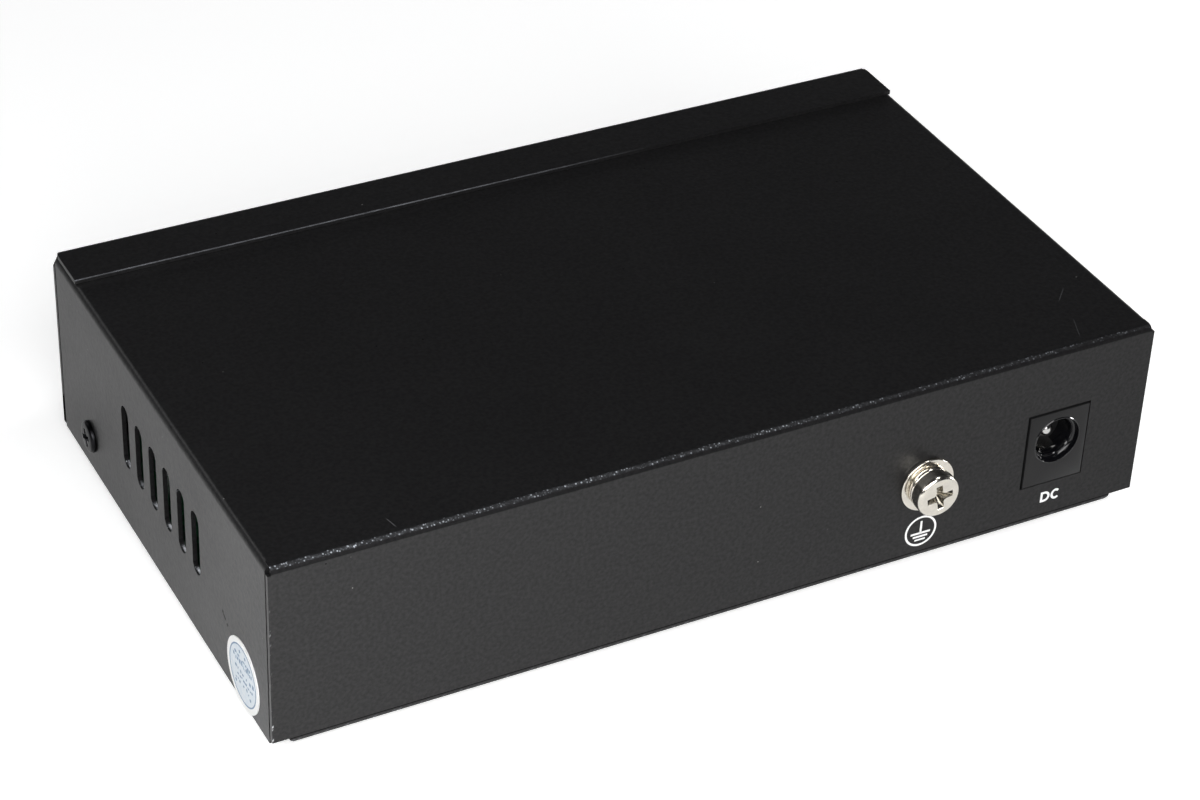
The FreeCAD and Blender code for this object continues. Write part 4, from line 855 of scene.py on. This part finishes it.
class SWITCH_OT_inlet(bpy.types.Operator):
    """Finish the supply inlet, its pin and its spring"""

    bl_idname = "switch.inlet"
    bl_label = "Supply inlet"

    def execute(self, context):
        s = context.scene.switch_inlet
        plastic = moulded("inlet_moulding", s.moulding, 0.36)
        plastic.node_tree.nodes["Principled BSDF"].inputs["Specular IOR Level"].default_value = s.sheen
        metal = plated("inlet_contacts", s.metal, 0.12)
        self.make_block(s, plastic)
        self.make_pin(s, metal)
        finish("inlet_spring", metal)
        return {"FINISHED"}

    def make_block(self, s, plastic):
        """The inlet's flush face with its polished, slightly tapering sleeve."""
        low, high = corners("inlet_body")
        bore = middle("inlet_pin")
        half_wide, half_high = (high.x - low.x) / 2, (high.z - low.z) / 2
        mid = Vector((bore.x, high.y, (low.z + high.z) / 2))
        rise = bore.z - mid.z
        mouth, proud = 3.5 * MM, 0.2 * MM
        bm = bmesh.new()
        sleeve = soft_profile([
            (mouth, proud, 0), (mouth - 0.1 * MM, proud + 0.11 * MM, 0.05 * MM),
            (mouth - 0.2 * MM, proud + 0.07 * MM, 0.05 * MM),
            (mouth - 0.28 * MM, -0.5 * MM, 0.06 * MM), (s.throat + 0.37 * MM, -0.68 * MM, 0.06 * MM),
            (s.throat + 0.28 * MM, -0.55 * MM, 0.06 * MM), (s.throat + 0.12 * MM, -0.9 * MM, 0.1 * MM),
            (s.throat, -3.2 * MM, 0.5 * MM),
            (s.throat - 0.15 * MM, -10.4 * MM, 0), (0.0, -10.4 * MM, 0)], 5)
        rings = turned(bm, sleeve, 80)
        bmesh.ops.translate(bm, verts=bm.verts, vec=(0, rise, 0))
        for face in bm.faces:
            face.material_index = 1
        corner = 0.1 * MM
        frame_rings = []
        for inset, level in (
                (0.0, -3.4 * MM), (0.0, proud - corner), (corner * 0.3, proud - corner * 0.3), (corner, proud)):
            x, y = half_wide - inset, half_high - inset
            frame_rings.append([bm.verts.new((a * x, b * y, level)) for a, b in ((1, 1), (-1, 1), (-1, -1), (1, -1))])
        loft(bm, frame_rings)
        fill(bm, frame_rings[-1], rings[0])
        bm.faces.new(frame_rings[0])
        place = Matrix.Translation(mid) @ Matrix(((-1, 0, 0, 0), (0, 0, 1, 0), (0, 1, 0, 0), (0, 0, 0, 1)))
        block = piece("inlet_block", bm, plastic, place)
        block.data.materials.append(moulded("inlet_sleeve", s.sleeve, 0.07, 0.5 * MM, 0.001 * MM))
        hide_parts("inlet_body")

    def make_pin(self, s, metal):
        low, high = corners("inlet_pin")
        radius = (high.x - low.x) / 2
        long = corners("inlet_body")[1].y - s.recess - low.y
        bm = bmesh.new()
        turned(bm, soft_profile([
            (0, 0, 0), (radius, 0, 0), (radius, long, radius * 0.92), (radius * 0.05, long, 0), (0, long, 0)], 12), 48)
        pin = piece("inlet_centre_pin", bm, metal, outward("inlet_pin", low.y))
        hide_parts("inlet_pin")


class SWITCH_OT_marks(bpy.types.Operator):
    """Print the letters under the inlet and the earth sign under its screw"""

    bl_idname = "switch.marks"
    bl_label = "Printed marks"

    def execute(self, context):
        s = context.scene.switch_marks
        ink = printed("white_ink", s.ink)
        self.print_letters(s, ink)
        self.print_earth_sign(s, ink)
        return {"FINISHED"}

    def on_rear(self, x, z):
        """Puts a flat drawing on the rear wall, reading from left to right from outside."""
        rear = corners("cover_shell")[1].y
        return Matrix(((-1, 0, 0, x), (0, 0, 1, rear), (0, 1, 0, z), (0, 0, 0, 1)))

    def print_letters(self, s, ink):
        """Two letters side by side, the second one nearer the seal."""
        base = corners("base_tray")[0].z + LETTERS_RISE
        tall, bold = s.letters, s.weight
        wide, gap = tall * 0.88, tall * 0.1
        start = middle("inlet_body").x - 0.3 * MM
        straight = wide * 0.42
        bm = bmesh.new()
        bend = [math.pi / 2 - math.pi * i / 20 for i in range(21)]
        bow = arc(straight, tall / 2, wide - straight, tall / 2, bend)
        hollow = arc(straight, tall / 2, wide - straight - bold, tall / 2 - bold, bend)
        plate(bm, [(0, 0), (0, tall), *bow], s.film, self.on_rear(start + wide + gap / 2, base),
              [[(bold, bold), (bold, tall - bold), *hollow]])
        sweep = [math.radians(44 + 272 * i / 28) for i in range(29)]
        outer = arc(wide / 2, tall / 2, wide / 2, tall / 2, sweep)
        inside = arc(wide / 2, tall / 2, wide / 2 - bold, tall / 2 - bold, reversed(sweep))
        plate(bm, outer + inside, s.film, self.on_rear(start - gap / 2, base))
        letters = piece("inlet_letters", bm, ink)

    def print_earth_sign(self, s, ink):
        """A ring round an upright bar that stands on three shorter and shorter ones."""
        place = self.on_rear(middle("earth_screw").x, corners("base_tray")[0].z + SIGN_RISE)
        radius, stroke = s.sign / 2, s.stroke
        circle = [FULL_TURN * i / 72 for i in range(72)]
        bm = bmesh.new()
        plate(bm, arc(0, 0, radius, radius, circle), s.film, place,
              [arc(0, 0, radius - stroke, radius - stroke, circle)])
        for half_wide, low, high in (
            (stroke / 2, -0.30 * MM, 1.55 * MM), (1.45 * MM, -0.50 * MM, -0.20 * MM),
            (1.08 * MM, -1.02 * MM, -0.74 * MM), (0.78 * MM, -1.52 * MM, -1.26 * MM),
        ):
            plate(bm, [(-half_wide, low), (half_wide, low), (half_wide, high), (-half_wide, high)], s.film, place)
        sign = piece("earth_sign", bm, ink)


class SWITCH_OT_seal(bpy.types.Operator):
    """Print the round seal on the side wall"""

    bl_idname = "switch.seal"
    bl_label = "Seal"

    def execute(self, context):
        s = context.scene.switch_seal
        low, high = corners("seal_sticker")
        radius = (high.y - low.y) / 2
        centre = Vector((high.x, (low.y + high.y) / 2, high.z - radius))
        finish("seal_sticker", self.paper(s, centre, radius))
        place = Matrix(((0, 0, 1, centre.x), (1, 0, 0, centre.y), (0, 1, 0, centre.z), (0, 0, 0, 1)))
        film = 0.012 * MM
        bm = bmesh.new()
        self.ring(bm, place, radius * 0.84, radius * 0.80, film, low.z - centre.z + 0.4 * MM)
        self.marks(bm, place, radius, film, s.seed)
        seal = piece("seal_print", bm, printed("seal_ink", s.ink, 0.4))
        return {"FINISHED"}

    def paper(self, s, centre, radius):
        """White paper with a pale tinted field inside the ring."""
        nodes = Finish("seal_paper", s.paper, 0.35)
        away = nodes.vector("DISTANCE", nodes.place, centre)
        inside = nodes.levels(away, radius * 0.83, radius * 0.80)
        cloud = nodes.levels(nodes.noise(0.5 * MM, 3.0), 0.3, 0.7, 0.55, 1.0)
        nodes.colour_from(nodes.mix(nodes.product(inside, cloud), tuple(s.paper), tuple(s.field)))
        nodes.normal_from(nodes.bump(nodes.noise(0.2 * MM), 0.004 * MM))
        return nodes.material

    def ring(self, bm, place, outer, inner, film, floor):
        """A ring of short plates, left out below the floor."""
        steps = 96
        for i in range(steps):
            turns = (FULL_TURN * i / steps, FULL_TURN * (i + 1) / steps)
            near, far = arc(0, 0, inner, inner, turns), arc(0, 0, outer, outer, turns)
            quad = [near[0], far[0], far[1], near[1]]
            if min(point[1] for point in quad) > floor:
                plate(bm, quad, film, place)

    def marks(self, bm, place, radius, film, seed):
        """Rows of small uneven marks across the middle and dots round the ring."""
        chance = random.Random(seed)
        for row, half, tall in (
            (0.40, 0.40, 0.5), (0.22, 0.58, 0.85), (-0.02, 0.62, 0.75), (-0.20, 0.58, 0.5), (-0.38, 0.45, 0.5),
        ):
            x = -radius * half
            while x < radius * half:
                wide = chance.uniform(0.14, 0.5) * MM
                high = tall * chance.uniform(0.35, 0.8) * MM
                y = radius * row + chance.uniform(0.0, 0.3) * MM
                lean = chance.uniform(-0.12, 0.12) * MM
                if chance.random() < 0.8:
                    plate(bm, [(x, y), (x + wide, y), (x + wide + lean, y + high), (x + lean, y + high)], film, place)
                x += wide + chance.uniform(0.12, 0.34) * MM
        dot = 0.24 * MM
        middles = [FULL_TURN * (i + 0.5) / 12 for i in range(12)]
        for x, y in arc(0, 0, radius * 0.64, radius * 0.64, middles):
            if abs(y) < radius * 0.3 or y < -radius * 0.6:
                continue
            plate(bm, arc(x, y, dot, dot, [FULL_TURN * k / 7 for k in range(7)]), film, place)


class SWITCH_OT_ports(bpy.types.Operator):
    """Finish the bank of network ports and the indicator lights"""

    bl_idname = "switch.ports"
    bl_label = "Ports and lights"

    def execute(self, context):
        s = context.scene.switch_ports
        finish("port_shield", plated("port_shield_tin", s.shield, 0.28, 0.1))
        finish("port_housing", moulded("port_moulding", (0.012, 0.012, 0.013), 0.42))
        finish("port_contacts", plated("contact_gold", s.gold, 0.16))
        finish("light_holders", moulded("holder_moulding", (0.014, 0.014, 0.015), 0.5))
        finish("status_lights", lens_plastic("lens_plastic", s.lens))
        return {"FINISHED"}


class SWITCH_OT_board(bpy.types.Operator):
    """Finish the circuit board, what stands on it and the rubber feet"""

    bl_idname = "switch.board"
    bl_label = "Circuit board"

    def execute(self, context):
        s = context.scene.switch_board
        for material, nodes in (
            (circuit_mask("solder_mask", s.mask), ("circuit_board",)),
            (plated("bright_steel", (0.56, 0.57, 0.58), 0.3, 0.12), ("board_posts", "board_screws", "clock_crystal")),
            (plated("dull_tin", (0.60, 0.60, 0.58), 0.36, 0.12), ("switch_chip_leads",)),
            (moulded("chip_moulding", s.moulding, 0.5),
             ("switch_chip", "power_chip", "memory_chip", "supply_diode", "line_transformers")),
            (moulded("ferrite", (0.05, 0.05, 0.052), 0.6), ("power_inductor",)),
            (moulded("capacitor_sleeve", (0.03, 0.035, 0.06), 0.32), ("smoothing_capacitors",)),
            (moulded("foot_rubber", s.rubber, 0.7, 0.3 * MM, 0.01 * MM), ("rubber_feet",)),
        ):
            for node in nodes:
                finish(node, material)
        return {"FINISHED"}


# Name of the lamp's setting, its width and height, its place and the point it faces, all in metres.
CASE_MIDDLE = (0, 0, 0.015)
LAMPS = (
    ("overhead", 0.14, 0.14, (-0.213, 0.134, 0.667), CASE_MIDDLE),
    ("fill", 0.45, 0.45, (0.10, 0.52, 0.33), CASE_MIDDLE),
    ("pool", 0.14, 0.14, (0.16, 0.14, 0.12), (0.16, 0.14, 0)),
    ("flank", 0.12, 0.12, (-0.58, 0.12, 0.10), CASE_MIDDLE),
    ("back", 0.22, 0.30, (0.26, -0.48, 0.42), CASE_MIDDLE),
)


class SWITCH_OT_stage(bpy.types.Operator):
    """Set up the floor, the lamps and the camera"""

    bl_idname = "switch.stage"
    bl_label = "Studio"

    def execute(self, context):
        s = context.scene.switch_stage
        self.make_floor(s)
        self.make_room(context, s)
        self.make_lamps(context, s)
        self.make_camera(context, s)
        context.scene.view_settings.view_transform = "Standard"
        return {"FINISHED"}

    def make_floor(self, s):
        """White paper that glows a little where the camera sees it, and less where the object mirrors it."""
        mesh = bpy.data.meshes.new("studio_floor")
        half = 6.0
        mesh.from_pydata([(-half, -half, 0), (half, -half, 0), (half, half, 0), (-half, half, 0)], [], [(0, 1, 2, 3)])
        floor = bpy.data.objects.new("studio_floor", mesh)
        bpy.context.scene.collection.objects.link(floor)
        nodes = Finish("floor_paper", s.floor, 0.9)
        rays = nodes.add("ShaderNodeLightPath").outputs
        mirrored = nodes.maths("MAXIMUM", rays["Is Glossy Ray"], rays["Is Transmission Ray"])
        seen = nodes.product(rays["Is Camera Ray"], s.floor_glow)
        glow = nodes.maths("MAXIMUM", seen, nodes.product(mirrored, s.mirror_glow))
        nodes.feed(nodes.shader, "Specular IOR Level", 0.0)
        nodes.feed(nodes.shader, "Emission Color", (1, 1, 1))
        nodes.feed(nodes.shader, "Emission Strength", glow)
        mesh.materials.append(nodes.material)

    def make_room(self, context, s):
        """White for the camera. The object mirrors a dark room that is lighter low down in front of the case."""
        world = bpy.data.worlds.new("studio_room")
        context.scene.world = world
        world.use_nodes = True
        nodes = Nodes(world.node_tree)
        nodes.tree.nodes.clear()
        heading = nodes.split(nodes.add("ShaderNodeTexCoord").outputs["Generated"])
        height = nodes.levels(heading.z, 0.0, 0.42, kind="SMOOTHSTEP")
        rearward = nodes.levels(heading.y, -0.35, 0.0)
        shade = nodes.mix(nodes.maths("MAXIMUM", height, rearward), tuple(s.horizon), tuple(s.ceiling))
        room = nodes.add("ShaderNodeBackground")
        nodes.feed(room, "Color", shade)
        white = nodes.add("ShaderNodeBackground", Color=(1, 1, 1, 1))
        either = nodes.add("ShaderNodeMixShader")
        nodes.feed(either, 0, nodes.add("ShaderNodeLightPath").outputs["Is Camera Ray"])
        nodes.feed(either, 1, room.outputs[0])
        nodes.feed(either, 2, white.outputs[0])
        nodes.feed(nodes.add("ShaderNodeOutputWorld"), "Surface", either.outputs[0])

    def make_lamps(self, context, s):
        for name, wide, tall, place, aim in LAMPS:
            lamp = bpy.data.lights.new(f"{name}_lamp", "AREA")
            lamp.shape = "RECTANGLE"
            lamp.size, lamp.size_y = wide, tall
            lamp.energy = getattr(s, name)
            thing = bpy.data.objects.new(f"{name}_lamp", lamp)
            thing.location = place
            thing.rotation_euler = (Vector(aim) - Vector(place)).to_track_quat("-Z", "Y").to_euler()
            context.scene.collection.objects.link(thing)

    def make_camera(self, context, s):
        """A camera that looks at a point above the floor, then moved a little across its own view."""
        data = bpy.data.cameras.new("camera")
        data.lens = s.lens
        data.sensor_width = 36
        data.clip_start = 0.01
        data.clip_end = 50
        camera = bpy.data.objects.new("camera", data)
        turn = Matrix.Translation(UP * s.aim_height)
        for angle_about, axis in ((s.azimuth, "Z"), (math.pi / 2 - s.elevation, "X"), (s.roll, "Z")):
            turn = turn @ Matrix.Rotation(angle_about, 4, axis)
        camera.matrix_world = turn @ Matrix.Translation((s.aim_right, s.aim_up, s.distance))
        context.scene.collection.objects.link(camera)
        context.scene.camera = camera


OPERATORS = (
    SWITCH_OT_stage,
    SWITCH_OT_case,
    SWITCH_OT_case_screws,
    SWITCH_OT_earth_point,
    SWITCH_OT_inlet,
    SWITCH_OT_marks,
    SWITCH_OT_seal,
    SWITCH_OT_ports,
    SWITCH_OT_board,
)


class SWITCH_PT_parts(bpy.types.Panel):
    """Lists the pieces of the switch"""

    bl_idname = "SWITCH_PT_parts"
    bl_label = "Network switch"
    bl_space_type = "VIEW_3D"
    bl_region_type = "UI"
    bl_category = "Switch"

    def draw(self, context):
        for operator in OPERATORS:
            self.layout.operator(operator.bl_idname)
        for attribute, group in GROUPS.items():
            box = self.layout.box()
            settings = getattr(context.scene, attribute)
            for key in group.__annotations__:
                box.prop(settings, key)


CLASSES = (*GROUPS.values(), *OPERATORS, SWITCH_PT_parts)


def register():
    for each in CLASSES:
        bpy.utils.register_class(each)
    for attribute, group in GROUPS.items():
        setattr(bpy.types.Scene, attribute, PointerProperty(type=group))


def unregister():
    for attribute in GROUPS:
        delattr(bpy.types.Scene, attribute)
    for each in reversed(CLASSES):
        bpy.utils.unregister_class(each)


def main():
    register()
    bpy.ops.switch.stage()
    bpy.ops.switch.case()
    bpy.ops.switch.case_screws()
    bpy.ops.switch.earth_point()
    bpy.ops.switch.inlet()
    bpy.ops.switch.marks()
    bpy.ops.switch.seal()
    bpy.ops.switch.ports()
    bpy.ops.switch.board()


if __name__ == "__main__":
    main()
